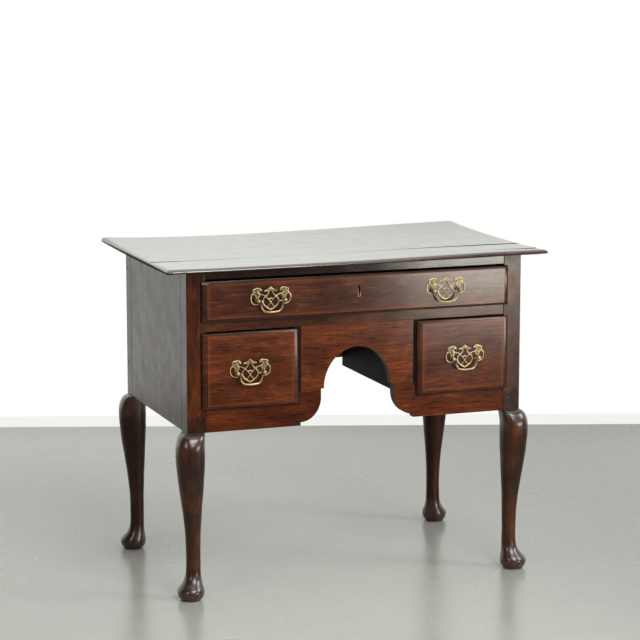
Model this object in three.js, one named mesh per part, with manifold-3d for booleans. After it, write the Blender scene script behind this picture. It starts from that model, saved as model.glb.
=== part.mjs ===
// Lowboy: a small dressing table with one long drawer over two small ones,
// a shaped kneehole apron and four cabriole legs on pad feet.
// Millimetres, +Z up, front towards -Y, origin on the floor under the middle of the top.
import * as THREE from 'three';
import { mergeVertices } from 'three/addons/utils/BufferGeometryUtils.js';
import Module from 'manifold-3d';

const wasm = await Module();
wasm.setup();

// Overall sizes
const carcaseWidth = 750;
const carcaseDepth = 458;
const legHeight = 355;
const caseHeight = 340;
const fitGap = 0.3;
const cutOverrun = 5;

// Top of two edge-joined boards
const topThickness = 13;
const sideOverhang = 47;
const frontOverhang = 40;
const backOverhang = 30;
const topFrontBoardWidth = 110;
const topMouldingWidth = 9;
const topEdgeInsetShares = [0.25, 0, 0, 0.12, 0.35, 0.68, 0.95, 1];
const topEdgeRiseShares = [0, 0.14, 0.3, 0.5, 0.7, 0.84, 0.9, 1];

// Corner posts, rails and panels
const post = 40;
const railDepth = 34;
const topRailHeight = 20;
const midRailHeight = 21;
const bottomRailHeight = 50;
const bottomRailThickness = 20;
const tenonLength = 20;
const tenonThickness = 8;
const tenonShoulder = 6;
const dovetailLength = 24;
const dovetailNeck = 16;
const dovetailFlare = 4;
const panelThickness = 16;
const panelTongue = 8;
const backBoardThickness = 14;
const backBoardInset = 14;
const backBoardLift = 5;
const backBoardJointShare = 0.5;

// Long drawer opening, small drawer openings and kneehole
const longOpeningHeight = 88;
const partitionThickness = 15;
const partitionInner = 127;
const lobeHalfSpan = 81.5;
const lobeRise = 58;
const lobeLift = 22;
const filletRise = 7;
const apronStep = 4;
const archHalfSpan = 75;
const archRiseShare = 0.612;
const apronTongue = 6;

// Runners, guides and kickers
const runnerWidth = 20;
const longRunnerThickness = 20;
const smallRunnerThickness = 14;
const guideHeight = 20;

// Cabriole legs, measured inwards from the carcase corner
const kneeOverhang = 22;
const kneeInner = 38;
const kneeDrop = 35;
const ankleHeight = 95;
const ankleRadius = 15.3;
const ankleInset = 14.4;
const padHeight = 22;
const padRadius = 28.3;
const padInset = 8.5;
const discHeight = 2;
const discRadius = 21.5;
const legSides = 16;
const kneeEaseShare = 0.95;

// Drawers
const lipOverlap = 8.5;
const lipEdge = 3;
const fieldProud = 9;
const fieldFillet = 1.2;
const ovoloWidth = 10.5;
const planedOff = 5.5;
const frontThickness = 14;
const drawerSideClearance = 1.2;
const drawerTopGap = 4;
const drawerLift = 0.5;
const drawerRearGap = 20;
const drawerSideThickness = 9;
const drawerBackThickness = 8;
const sideDrop = 3;
const bottomThickness = 7;
const bottomHeight = 6;
const grooveDepth = 5;
const tailLap = 9;
const tailFlare = 2.5;
const tailPitch = 38;
const tailShare = 0.62;

// Lock in the long drawer
const lockWidth = 56;
const lockHeight = 50;
const lockDepth = 12;
const lockWall = 3;
const boltWidth = 20;
const boltThickness = 5;
const boltHeight = 38;
const boltNotchWidth = 8;
const boltNotchHeight = 12;
const boltClearance = 0.5;
const boltMortiseDepth = 9;
const boltMortiseClearance = 2;
const keyholeDrop = 24;
const keyholeLength = 22;
const keyholeRadius = 2.8;
const keyholeSlot = 3.6;

// Handles: pierced backplate, two turned posts and a swan-neck bail
const boring = 58.5;
const longHandleSpread = 196;
const longHandleHeightShare = 0.473;
const smallHandleShift = 3;
const smallHandleHeightShare = 0.463;
const plateThickness = 1.6;
const plateHalfWidth = 44;
const strapWidth = 2.6;
const bossRadius = 5;
const headStandOff = 14;
const headRadius = 4.2;
const neckRadius = 2.4;
const collarRadius = 4.5;
const collarHeight = 2;
const shankRadius = 2;
const shankTail = 9;
const shankClearance = 0.4;
const bailRadius = 1.8;
const bailPinRadius = 1.3;
const bailPinClearance = 0.35;
const bailDrop = 24;
const bailHalfSpan = 23.7;
const bailPinTip = 28.3;
const bailShares = [[1.19, 0], [1.08, 0], [1.02, 0.05], [1, 0.15], [0.99, 0.34], [0.91, 0.66],
  [0.68, 0.91], [0.34, 0.97], [0, 1]];
const bailSteps = 24;
const bailSides = 6;
const postSides = 8;
const collarRimShare = 0.75;
const traceryWidthShare = 0.8;

// Places worked out from the sizes
const frontY = -(frontOverhang + carcaseDepth + backOverhang) / 2 + frontOverhang;
const backY = frontY + carcaseDepth;
const halfWidth = carcaseWidth / 2;
const carcaseTop = legHeight + caseHeight;
const overallHeight = carcaseTop + topThickness;
const postInner = halfWidth - post;
const frontPostBack = frontY + post;
const rearPostFront = backY - post;
const railBack = frontY + railDepth;
const bottomRailBack = frontY + bottomRailThickness;
const panelInner = halfWidth - panelThickness;
const backBoardInner = backY - backBoardInset - backBoardThickness;
const topRailBottom = carcaseTop - topRailHeight;
const midRailTop = topRailBottom - longOpeningHeight;
const midRailBottom = midRailTop - midRailHeight;
const bottomRailTop = legHeight + bottomRailHeight;
const partitionOuter = partitionInner + partitionThickness;
const lobeJoint = bottomRailTop + lobeLift;
const archRise = archRiseShare * (midRailBottom - lobeJoint);
const partitionBottom = bottomRailTop - smallRunnerThickness;
const backBoardBottom = bottomRailTop + backBoardLift;
const backBoardJoint = backBoardBottom + backBoardJointShare * (carcaseTop - backBoardBottom);
const kneeHeight = legHeight - kneeDrop;
const drawerDepth = backBoardInner - drawerRearGap - frontY;
const longFrontHeight = longOpeningHeight - drawerTopGap - drawerLift;
const smallOpeningHeight = midRailBottom - bottomRailTop;
const smallFrontHeight = smallOpeningHeight - drawerTopGap - drawerLift;
const longHandleHeight = longHandleHeightShare * longFrontHeight;
const smallHandleHeight = smallHandleHeightShare * smallFrontHeight;
const smallOpeningWidth = postInner - partitionOuter;
const smallDrawerX = (postInner + partitionOuter) / 2;
const topJointY = frontY - frontOverhang + topFrontBoardWidth;

// Geometry helpers
function mix(from, to, share) {
  return from + (to - from) * share;
}

const alongX = new THREE.Matrix4().makeBasis(
  new THREE.Vector3(0, 1, 0), new THREE.Vector3(0, 0, 1), new THREE.Vector3(1, 0, 0));
const alongY = new THREE.Matrix4().makeBasis(
  new THREE.Vector3(1, 0, 0), new THREE.Vector3(0, 0, 1), new THREE.Vector3(0, -1, 0));

function welded(geometry) {
  const bare = geometry.clone();
  bare.deleteAttribute('normal');
  bare.deleteAttribute('uv');
  return mergeVertices(bare);
}

function solidOf(geometry) {
  const merged = welded(geometry);
  return new wasm.Manifold(new wasm.Mesh({
    numProp: 3,
    vertProperties: new Float32Array(merged.attributes.position.array),
    triVerts: new Uint32Array(merged.index.array),
  }));
}

function geometryOf(solid) {
  const mesh = solid.getMesh();
  const geometry = new THREE.BufferGeometry();
  geometry.setAttribute('position', new THREE.BufferAttribute(mesh.vertProperties, 3));
  geometry.setIndex(new THREE.BufferAttribute(mesh.triVerts, 1));
  geometry.computeVertexNormals();
  return geometry;
}

function joined(...geometries) {
  return geometryOf(geometries.map(solidOf).reduce((whole, next) => whole.add(next)));
}

function cut(geometry, ...cutters) {
  return geometryOf(cutters.map(solidOf).reduce((rest, next) => rest.subtract(next), solidOf(geometry)));
}

function common(geometry, other) {
  return geometryOf(solidOf(geometry).intersect(solidOf(other)));
}

function box(x0, x1, y0, y1, z0, z1) {
  const geometry = new THREE.BoxGeometry(x1 - x0, y1 - y0, z1 - z0);
  return geometry.translate((x0 + x1) / 2, (y0 + y1) / 2, (z0 + z1) / 2);
}

function polygon(points) {
  return new THREE.Shape(points.map(([x, y]) => new THREE.Vector2(x, y)));
}

function extruded(shape, depth, curveSegments = 12) {
  return new THREE.ExtrudeGeometry(shape, { depth, bevelEnabled: false, curveSegments, steps: 1 });
}

// A plan outline raised from z0 to z1
function raised(shape, z0, z1) {
  return extruded(shape, z1 - z0).translate(0, 0, z0);
}

// A front outline in x and z, running back from y0 to y1
function fronted(shape, y0, y1, curveSegments) {
  return extruded(shape, y1 - y0, curveSegments).applyMatrix4(alongY).translate(0, y1, 0);
}

// A side outline in y and z, running across from x0 to x1
function sided(shape, x0, x1) {
  return extruded(shape, x1 - x0).applyMatrix4(alongX).translate(x0, 0, 0);
}

// Closed rings of equal count stacked along their axis, skinned and capped
function loft(rings) {
  const count = rings[0].length;
  const positions = rings.flat().flatMap((point) => [point.x, point.y, point.z]);
  const index = [];
  for (let level = 0; level < rings.length - 1; level += 1) {
    for (let side = 0; side < count; side += 1) {
      const a = level * count + side;
      const b = level * count + (side + 1) % count;
      index.push(a, b, b + count, a, b + count, a + count);
    }
  }
  const last = (rings.length - 1) * count;
  for (let side = 1; side < count - 1; side += 1) {
    index.push(0, side + 1, side);
    index.push(last, last + side, last + side + 1);
  }
  const geometry = new THREE.BufferGeometry();
  geometry.setAttribute('position', new THREE.Float32BufferAttribute(positions, 3));
  geometry.setIndex(index);
  geometry.computeVertexNormals();
  return geometry;
}

// The same piece on the other side: x for the right-hand one
function mirroredX(geometry) {
  const flipped = welded(geometry).applyMatrix4(new THREE.Matrix4().makeScale(-1, 1, 1));
  const index = flipped.index.array;
  for (let corner = 0; corner < index.length; corner += 3) {
    [index[corner], index[corner + 1]] = [index[corner + 1], index[corner]];
  }
  flipped.computeVertexNormals();
  return flipped;
}

// Materials
const darkWood = { color: 0x4b2718, roughness: 0.38, metalness: 0 };
const secondaryWood = { color: 0x8a6440, roughness: 0.8, metalness: 0 };
const agedBrass = { color: 0xb29a62, roughness: 0.4, metalness: 0.9 };
const lockIron = { color: 0x55504a, roughness: 0.6, metalness: 0.8 };

function piece(name, geometry, finish) {
  const mesh = new THREE.Mesh(geometry, new THREE.MeshStandardMaterial(finish));
  mesh.name = name;
  return mesh;
}

function pair(name, leftGeometry, finish) {
  return [piece(`${name}_left`, leftGeometry, finish), piece(`${name}_right`, mirroredX(leftGeometry), finish)];
}

// Joints cut in the left-hand posts, grown by the clearance where they are sockets
function topRailDovetail(clearance) {
  const over = clearance > 0 ? cutOverrun : 0;
  const neck = dovetailNeck / 2 + clearance;
  const tip = neck + dovetailFlare;
  const middle = frontY + railDepth / 2;
  const end = -postInner - dovetailLength - clearance;
  const shape = polygon([[-postInner + cutOverrun, middle - neck], [-postInner + cutOverrun, middle + neck],
    [-postInner, middle + neck], [end, middle + tip], [end, middle - tip], [-postInner, middle - neck]]);
  return raised(shape, topRailBottom + tenonThickness - clearance, carcaseTop - fitGap + over);
}

function midRailTenon(clearance) {
  const middle = (midRailBottom + midRailTop) / 2;
  return box(-postInner - tenonLength - clearance, -postInner + cutOverrun,
    frontY + tenonShoulder - clearance, railBack - tenonShoulder + clearance,
    middle - tenonThickness / 2 - clearance, middle + tenonThickness / 2 + clearance);
}

function bottomRailTenon(clearance) {
  return box(-postInner - tenonLength - clearance, -postInner + cutOverrun,
    frontY + tenonShoulder - clearance, frontY + tenonShoulder + tenonThickness + clearance,
    legHeight + tenonShoulder - clearance, bottomRailTop - tenonShoulder + clearance);
}

function panelTongues(clearance) {
  const outer = halfWidth - (panelThickness - tenonThickness) / 2 + clearance;
  const inner = outer - tenonThickness - 2 * clearance;
  return box(-outer, -inner, frontPostBack - panelTongue - clearance, rearPostFront + panelTongue + clearance,
    legHeight + tenonShoulder - clearance, carcaseTop - tenonShoulder + clearance);
}

function backBoardGroove() {
  return box(-postInner - panelTongue - fitGap, -postInner + cutOverrun,
    backBoardInner - fitGap, backBoardInner + backBoardThickness + fitGap,
    backBoardBottom - fitGap, carcaseTop + cutOverrun);
}

// Cabriole leg below the rails: rounded squares that swell at the knee, thin to a
// round ankle and spread over the pad foot. Out is the sweep beyond the carcase corner.
function legRing(height, out, inner, outerPower, innerPower) {
  const centre = (inner - out) / 2;
  const half = (inner + out) / 2;
  const points = [];
  for (let side = 0; side < legSides; side += 1) {
    const angle = (2 * Math.PI * (side + 0.5)) / legSides;
    const c = Math.cos(angle);
    const s = Math.sin(angle);
    const power = 2 / (c < 0 && s < 0 ? outerPower : innerPower);
    points.push(new THREE.Vector3(
      -halfWidth + centre + half * Math.sign(c) * Math.abs(c) ** power,
      centre + half * Math.sign(s) * Math.abs(s) ** power,
      height));
  }
  return points;
}

function cabrioleRings() {
  const rings = [];
  const ankleOut = ankleRadius - ankleInset;
  const ankleInner = ankleRadius + ankleInset;
  const padOut = padRadius - padInset;
  const padInner = padRadius + padInset;
  const roundPower = 2;
  const kneePower = 2.6;
  const outerKneePower = 2.4;
  const postPower = 16;
  rings.push(legRing(0, discRadius - padInset, discRadius + padInset, roundPower, roundPower));
  const soleSteps = 4;
  for (let step = 0; step <= soleSteps; step += 1) {
    const share = step / soleSteps;
    const radius = mix(discRadius, padRadius, Math.sqrt(1 - (1 - share) ** 2));
    const height = mix(discHeight, padHeight, share);
    rings.push(legRing(height, radius - padInset, radius + padInset, roundPower, roundPower));
  }
  const footSteps = 7;
  for (let step = footSteps - 1; step > 0; step -= 1) {
    const share = step / footSteps;
    const spread = (1 - Math.cos(Math.PI * share ** 3)) / 2;
    rings.push(legRing(mix(ankleHeight, padHeight, share), mix(ankleOut, padOut, spread),
      mix(ankleInner, padInner, spread), roundPower, roundPower));
  }
  const shinSteps = 8;
  for (let step = 0; step <= shinSteps; step += 1) {
    const share = 1 - step / shinSteps;
    const swell = (1 + Math.cos(Math.PI * share ** kneeEaseShare)) / 2;
    rings.push(legRing(mix(kneeHeight, ankleHeight, share), mix(ankleOut, kneeOverhang, swell),
      mix(ankleInner, kneeInner, swell), mix(roundPower, outerKneePower, swell),
      mix(roundPower, kneePower, swell)));
  }
  const kneeSteps = 5;
  for (let step = 1; step <= kneeSteps; step += 1) {
    const share = step / kneeSteps;
    const drawIn = Math.sqrt(1 - share ** 2);
    const height = mix(kneeHeight, legHeight, share);
    rings.push(legRing(height, kneeOverhang * drawIn, mix(post, kneeInner, drawIn),
      mix(postPower, outerKneePower, drawIn), mix(postPower, kneePower, drawIn)));
  }
  rings.push(legRing(legHeight + cutOverrun, 0, post, postPower, postPower));
  return rings;
}

// towardsBack is 1 for a front leg, whose inside lies behind it, and -1 for a rear leg
function leg(cornerY, towardsBack, sockets) {
  const rings = cabrioleRings().map((ring) => ring.map((point) => point.clone()));
  rings.forEach((ring) => {
    ring.forEach((point) => { point.y = cornerY + towardsBack * point.y; });
    if (towardsBack < 0) ring.reverse();
  });
  const innerY = cornerY + towardsBack * post;
  const square = box(-halfWidth, -postInner, Math.min(cornerY, innerY), Math.max(cornerY, innerY),
    legHeight, carcaseTop - fitGap);
  return cut(joined(loft(rings), square), ...sockets);
}

const frontLeg = leg(frontY, 1,
  [topRailDovetail(fitGap), midRailTenon(fitGap), bottomRailTenon(fitGap), panelTongues(fitGap)]);
const rearLeg = leg(backY, -1, [panelTongues(fitGap), backBoardGroove()]);

// Side panels, boards across the back
function sidePanel() {
  const board = box(-halfWidth, -panelInner, frontPostBack + fitGap, rearPostFront - fitGap,
    legHeight, carcaseTop - fitGap);
  return joined(board, panelTongues(0));
}

function backBoard(z0, z1) {
  const reach = postInner + panelTongue;
  return box(-reach, reach, backBoardInner, backBoardInner + backBoardThickness, z0, z1);
}

// Front rails
function topRail() {
  const reach = postInner - fitGap;
  const bar = box(-reach, reach, frontY, railBack, topRailBottom, carcaseTop - fitGap);
  const tail = topRailDovetail(0);
  const boltY = frontY + frontThickness - lockDepth / 2;
  const halfMortise = boltThickness / 2 + boltMortiseClearance;
  const halfMortiseWidth = boltWidth / 2 + boltMortiseClearance;
  const mortise = box(-halfMortiseWidth, halfMortiseWidth, boltY - halfMortise, boltY + halfMortise,
    topRailBottom - cutOverrun, topRailBottom + boltMortiseDepth);
  return cut(joined(bar, tail, mirroredX(tail)), mortise);
}

function apronTongueBox(clearance) {
  const reach = archHalfSpan + clearance;
  const y0 = frontY + (bottomRailThickness - apronTongue) / 2;
  return box(-reach, reach, y0 - clearance, y0 + apronTongue + clearance,
    midRailBottom - cutOverrun, midRailBottom + apronTongue + clearance);
}

function partitionTenon(clearance) {
  const middle = (partitionInner + partitionOuter) / 2;
  return box(-middle - tenonThickness / 2 - clearance, -middle + tenonThickness / 2 + clearance,
    frontY + tenonShoulder - clearance, railBack - tenonShoulder + clearance,
    midRailBottom - cutOverrun, midRailBottom + tenonThickness + clearance);
}

function midRail() {
  const reach = postInner - fitGap;
  const bar = box(-reach, reach, frontY, railBack, midRailBottom, midRailTop);
  const socket = partitionTenon(fitGap);
  return cut(joined(bar, midRailTenon(0), mirroredX(midRailTenon(0))),
    apronTongueBox(fitGap), socket, mirroredX(socket));
}

// Bottom rail with the rounded lobe that frames the kneehole
function bottomRail() {
  const lobeRadius = lobeRise - filletRise;
  const lobeStart = partitionInner;
  const shape = new THREE.Shape();
  shape.moveTo(-postInner + fitGap, legHeight);
  shape.lineTo(-lobeStart, legHeight);
  shape.lineTo(-lobeStart, legHeight + filletRise);
  shape.absellipse(-lobeStart, legHeight + lobeRise, lobeStart - lobeHalfSpan, lobeRadius,
    -Math.PI / 2, 0, false, 0);
  shape.lineTo(-lobeHalfSpan, lobeJoint - fitGap);
  shape.lineTo(-partitionOuter, lobeJoint - fitGap);
  shape.lineTo(-partitionOuter, bottomRailTop);
  shape.lineTo(-postInner + fitGap, bottomRailTop);
  return joined(fronted(shape, frontY, bottomRailBack, 8), bottomRailTenon(0));
}

// Apron board between the partitions, sawn to a round arch with a small step each side
function apronBoard() {
  const reach = partitionInner - fitGap;
  const spring = lobeJoint + apronStep;
  const shape = new THREE.Shape();
  shape.moveTo(-reach, lobeJoint);
  shape.lineTo(-lobeHalfSpan, lobeJoint);
  shape.lineTo(-lobeHalfSpan, spring);
  shape.lineTo(-archHalfSpan, spring);
  shape.absellipse(0, spring, archHalfSpan, archRise, Math.PI, 0, true, 0);
  shape.lineTo(lobeHalfSpan, spring);
  shape.lineTo(lobeHalfSpan, lobeJoint);
  shape.lineTo(reach, lobeJoint);
  shape.lineTo(reach, midRailBottom - fitGap);
  shape.lineTo(-reach, midRailBottom - fitGap);
  return joined(fronted(shape, frontY, bottomRailBack, 24), apronTongueBox(0));
}

// Kneehole partition, notched over the bottom rail
function partition() {
  const back = backBoardInner - fitGap;
  const notchY = bottomRailBack + fitGap;
  const shape = polygon([[frontY, lobeJoint], [notchY, lobeJoint], [notchY, partitionBottom],
    [back, partitionBottom], [back, midRailBottom - fitGap], [frontY, midRailBottom - fitGap]]);
  return joined(sided(shape, -partitionOuter, -partitionInner), partitionTenon(0));
}

// Drawer runners: an L section at the sides, whose upright guides the drawer
function sideRunner(top, thickness) {
  const outer = -panelInner + fitGap;
  const inner = -postInner + runnerWidth;
  const shape = polygon([[outer, top - thickness], [inner, top - thickness], [inner, top],
    [-postInner, top], [-postInner, top + guideHeight], [outer, top + guideHeight]]);
  return fronted(shape, frontPostBack + fitGap, rearPostFront - fitGap);
}

function innerRunner() {
  return box(-partitionOuter - runnerWidth, -partitionOuter - fitGap, bottomRailBack + fitGap,
    backBoardInner - fitGap, bottomRailTop - smallRunnerThickness, bottomRailTop);
}

function kicker() {
  return box(-panelInner + fitGap, -postInner + runnerWidth, frontPostBack + fitGap,
    rearPostFront - fitGap, topRailBottom, carcaseTop - fitGap);
}

// Top: one moulded slab, sawn into a narrow front board and a wide back board
function mouldedTop() {
  const halfTop = halfWidth + sideOverhang;
  const front = frontY - frontOverhang;
  const back = backY + backOverhang;
  return loft(topEdgeInsetShares.map((insetShare, level) => {
    const inset = insetShare * topMouldingWidth;
    const z = carcaseTop + topEdgeRiseShares[level] * topThickness;
    return [[-halfTop + inset, front + inset], [halfTop - inset, front + inset],
      [halfTop - inset, back], [-halfTop + inset, back]].map(([x, y]) => new THREE.Vector3(x, y, z));
  }));
}

function topBoard(y0, y1) {
  const reach = halfWidth + sideOverhang + cutOverrun;
  return common(mouldedTop(), box(-reach, reach, y0, y1, carcaseTop - cutOverrun, overallHeight + cutOverrun));
}

// Drawer parts, in the drawer's own frame: x across its opening, y back from the
// carcase face, z up from the lower edge of its front
function lippedFace(openingWidth, height) {
  const ovoloDrop = fieldProud - fieldFillet - lipEdge;
  const ovoloSteps = 5;
  const levels = [[0, fitGap], [0, lipEdge]];
  for (let step = 1; step <= ovoloSteps; step += 1) {
    const angle = (Math.PI / 2) * (step / ovoloSteps);
    levels.push([ovoloWidth * (1 - Math.cos(angle)), lipEdge + ovoloDrop * Math.sin(angle)]);
  }
  levels.push([ovoloWidth, fieldProud]);
  const reach = openingWidth / 2 + lipOverlap;
  return loft(levels.map(([inset, proud]) => {
    const trim = Math.max(0, inset - planedOff);
    const x = reach - inset;
    return [[-x, trim], [x, trim], [x, height - trim], [-x, height - trim]].map(
      ([px, pz]) => new THREE.Vector3(px, -proud, pz));
  }));
}

// Dovetail tails between the drawer bottom and the top edge of the sides, seen in y and z
function tailShapes(sideHeight, yRoot, yTip, clearance) {
  const low = bottomHeight + bottomThickness + 2 * fitGap;
  const count = Math.max(1, Math.round((sideHeight - low) / tailPitch));
  const pitch = (sideHeight - low) / count;
  const outward = Math.sign(yTip - yRoot);
  const inside = yRoot - outward * cutOverrun;
  const tip = yTip + outward * clearance;
  const neck = (pitch * tailShare) / 2 + clearance;
  const flare = neck + tailFlare;
  return Array.from({ length: count }, (_, place) => {
    const z = low + (place + 0.5) * pitch;
    return polygon([[inside, z - neck], [yRoot, z - neck], [tip, z - flare],
      [tip, z + flare], [yRoot, z + neck], [inside, z + neck]]);
  });
}

function keyhole(y0, y1) {
  const slot = new THREE.Shape();
  const keyholeTop = longFrontHeight - keyholeDrop;
  const keyholeBottom = keyholeTop - keyholeLength;
  const halfSlot = keyholeSlot / 2;
  const meet = Math.asin(halfSlot / keyholeRadius);
  slot.moveTo(-halfSlot, keyholeBottom);
  slot.lineTo(halfSlot, keyholeBottom);
  slot.absarc(0, keyholeTop - keyholeRadius, keyholeRadius, meet - Math.PI / 2, 1.5 * Math.PI - meet, false);
  return fronted(slot, y0, y1, 8);
}

function shankHole(x, z) {
  const radius = shankRadius + shankClearance;
  const length = fieldProud + frontThickness + 2 * cutOverrun;
  const hole = new THREE.CylinderGeometry(radius, radius, length, 8);
  return hole.translate(x, (frontThickness - fieldProud) / 2, z);
}

function shankHoles(handles) {
  return handles.flatMap(([x, z]) => [shankHole(x - boring / 2, z), shankHole(x + boring / 2, z)]);
}

// One drawer: its openings' size gives every part, and handles lists the middle of each handle
function drawerParts(openingWidth, height, handles, frontCuts) {
  const sideHeight = height - sideDrop;
  const foot = fitGap - drawerLift;
  const reach = openingWidth / 2 - drawerSideClearance;
  const sideInner = reach - drawerSideThickness;
  const tailTip = frontThickness - tailLap;
  const backFront = drawerDepth - drawerBackThickness;
  const bottomReach = sideInner + grooveDepth;
  const grooveTop = bottomHeight + bottomThickness + fitGap;
  const sockets = (yRoot, yTip) => tailShapes(sideHeight, yRoot, yTip, fitGap).flatMap((shape) => {
    const socket = sided(shape, -reach - cutOverrun, -sideInner + fitGap);
    return [socket, mirroredX(socket)];
  });
  const groove = box(-bottomReach - fitGap, bottomReach + fitGap, frontThickness - grooveDepth - fitGap,
    drawerDepth + cutOverrun, bottomHeight - fitGap, grooveTop);

  const body = box(-reach, reach, -lipEdge / 2, frontThickness, 0, height);
  const front = cut(joined(lippedFace(openingWidth, height), body), groove,
    ...sockets(frontThickness, tailTip), ...shankHoles(handles), ...frontCuts);

  const board = box(-reach, -sideInner, frontThickness + fitGap, backFront - fitGap, foot, sideHeight);
  const underBack = box(-reach, -sideInner, backFront - cutOverrun, drawerDepth, foot, bottomHeight + bottomThickness);
  const frontTails = tailShapes(sideHeight, frontThickness + fitGap, tailTip, 0);
  const backTails = tailShapes(sideHeight, backFront - fitGap, drawerDepth, 0);
  const side = cut(joined(board, underBack,
    ...[...frontTails, ...backTails].map((shape) => sided(shape, -reach, -sideInner))), groove);

  const backBar = box(-reach, reach, backFront, drawerDepth, grooveTop, sideHeight);
  const back = cut(backBar, ...sockets(backFront, drawerDepth));
  const bottom = box(-bottomReach, bottomReach, frontThickness - grooveDepth, drawerDepth,
    bottomHeight, bottomHeight + bottomThickness);
  return { front, side, back, bottom };
}

// Lock let into the back of the long drawer's front, its bolt sliding up into the rail
function lockParts(height) {
  const lockFront = frontThickness - lockDepth;
  const bottom = height - lockHeight;
  const recess = box(-lockWidth / 2 - fitGap, lockWidth / 2 + fitGap, lockFront - fitGap,
    frontThickness + cutOverrun, bottom - fitGap, height + cutOverrun);
  const block = box(-lockWidth / 2, lockWidth / 2, lockFront, frontThickness, bottom, height);
  const boltRoom = box(-boltWidth / 2 - boltClearance, boltWidth / 2 + boltClearance, lockFront + lockWall,
    frontThickness - lockWall, bottom + lockWall, height + cutOverrun);
  const boltFront = lockFront + lockWall + boltClearance;
  const plate = box(-boltWidth / 2, boltWidth / 2, boltFront, boltFront + boltThickness,
    height - boltHeight, height);
  const notch = box(-boltNotchWidth / 2, boltNotchWidth / 2, lockFront, frontThickness,
    height - boltHeight - cutOverrun, height - boltHeight + boltNotchHeight);
  return {
    recess,
    lockCase: cut(block, boltRoom, keyhole(lockFront - cutOverrun, lockFront + lockWall + cutOverrun / 2)),
    bolt: cut(plate, notch),
  };
}

// Handle parts, x and z from the middle between the posts, y from the carcase face
const plateFront = -fieldProud - fitGap - plateThickness;
const headCentre = -fieldProud - headStandOff + headRadius;

// A flat strap of even or tapering width that follows a smooth line through the points
function strap(points, startWidth, endWidth = startWidth, steps = 8) {
  const curve = new THREE.SplineCurve(points.map(([x, z]) => new THREE.Vector2(x, z)));
  const left = [];
  const right = [];
  for (let step = 0; step <= steps; step += 1) {
    const share = step / steps;
    const middle = curve.getPoint(share);
    const along = curve.getTangent(share);
    const half = mix(startWidth, endWidth, share) / 2;
    left.push([middle.x - along.y * half, middle.y + along.x * half]);
    right.unshift([middle.x + along.y * half, middle.y - along.x * half]);
  }
  return polygon([...left, ...right]);
}

// Right half of the pierced backplate, as shares of half its width
const crownShares = [
  [0, 0.423], [0.114, 0.409], [0.205, 0.414], [0.345, 0.443], [0.3, 0.475], [0.209, 0.5],
  [0.118, 0.55], [0.05, 0.614], [0, 0.659],
];
const ringShares = [
  [0.105, 0.443], [0.111, 0.341], [0.182, 0.25], [0.277, 0.164], [0.359, 0.068], [0.391, -0.045],
  [0.341, -0.205], [0.216, -0.323], [0.091, -0.409], [0, -0.461],
];
const traceryShares = [
  [0.591, 0.309], [0.425, 0.277], [0.286, 0.207], [0.186, 0.123], [0.077, 0.002], [-0.023, -0.141],
  [-0.17, -0.307],
];
const lozengeShares = [
  [0.109, 0.036], [0, 0.1],
];
const linkShares = [
  [0.386, -0.073], [0.591, -0.045],
];
const leafShares = [
  [0.605, 0.057], [0.595, 0.216], [0.636, 0.375], [0.605, 0.445], [0.527, 0.436], [0.459, 0.505],
  [0.5, 0.586], [0.602, 0.636], [0.709, 0.634], [0.818, 0.609], [0.907, 0.525], [0.839, 0.493],
  [0.87, 0.405], [0.793, 0.332], [0.75, 0.205], [0.727, 0.057],
];
const scrollShares = [
  [0.75, 0.309], [0.873, 0.327], [0.964, 0.223], [0.964, 0.073], [0.895, -0.082], [0.764, -0.195],
  [0.614, -0.236],
];
const pendantShares = [
  [0, -0.398], [0.114, -0.414], [0.05, -0.468], [0, -0.518],
];

function scaled(shares) {
  return shares.map(([x, z]) => [x * plateHalfWidth, z * plateHalfWidth]);
}

// Pierced backplate: crown, shield-shaped ring, crossed tracery, side leaves and scrolls
function backplate() {
  const boss = new THREE.Shape();
  boss.absarc(boring / 2, 0, bossRadius, 0, 2 * Math.PI, false);
  const thin = strapWidth * traceryWidthShare;
  const outlines = [
    polygon(scaled(crownShares)),
    polygon(scaled(pendantShares)),
    strap(scaled(ringShares), strapWidth, strapWidth, 10),
    strap(scaled(traceryShares), thin, thin, 6),
    strap(scaled(lozengeShares), thin, thin, 1),
    strap(scaled(linkShares), strapWidth, strapWidth, 1),
    strap(scaled(scrollShares), strapWidth, thin, 7),
    polygon(scaled(leafShares)),
    boss,
  ];
  const back = plateFront + plateThickness;
  const half = joined(...outlines.map((outline) => fronted(outline, plateFront, back, 4)));
  return cut(joined(half, mirroredX(half)), shankHole(-boring / 2, 0), shankHole(boring / 2, 0));
}

// Turned post: ball head, neck, collar against the plate and shank through the front
function handlePost() {
  const headSteps = 5;
  const profile = [];
  const neckAngle = Math.PI - Math.asin(neckRadius / headRadius);
  for (let step = 0; step <= headSteps; step += 1) {
    const angle = (neckAngle * step) / headSteps;
    profile.push([headRadius * Math.sin(angle), headCentre - headRadius * Math.cos(angle)]);
  }
  profile[0][0] = 0;
  const collarBack = plateFront - fitGap;
  profile.push([neckRadius, collarBack - collarHeight * 2]);
  profile.push([collarRadius * collarRimShare, collarBack - collarHeight]);
  profile.push([collarRadius, collarBack - collarHeight / 2]);
  profile.push([collarRadius, collarBack]);
  profile.push([shankRadius, collarBack]);
  profile.push([shankRadius, frontThickness + shankTail]);
  profile.push([0, frontThickness + shankTail]);
  const turned = new THREE.LatheGeometry(profile.map(([x, y]) => new THREE.Vector2(x, y)), postSides);
  const boreRadius = bailPinRadius + bailPinClearance;
  const boreEnd = boring / 2 - bailPinTip - bailPinClearance;
  const boreLength = headRadius + cutOverrun - boreEnd;
  const bore = new THREE.CylinderGeometry(boreRadius, boreRadius, boreLength, 8).rotateZ(Math.PI / 2);
  return cut(turned, bore.translate(boreEnd + boreLength / 2, headCentre, 0));
}

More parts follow.
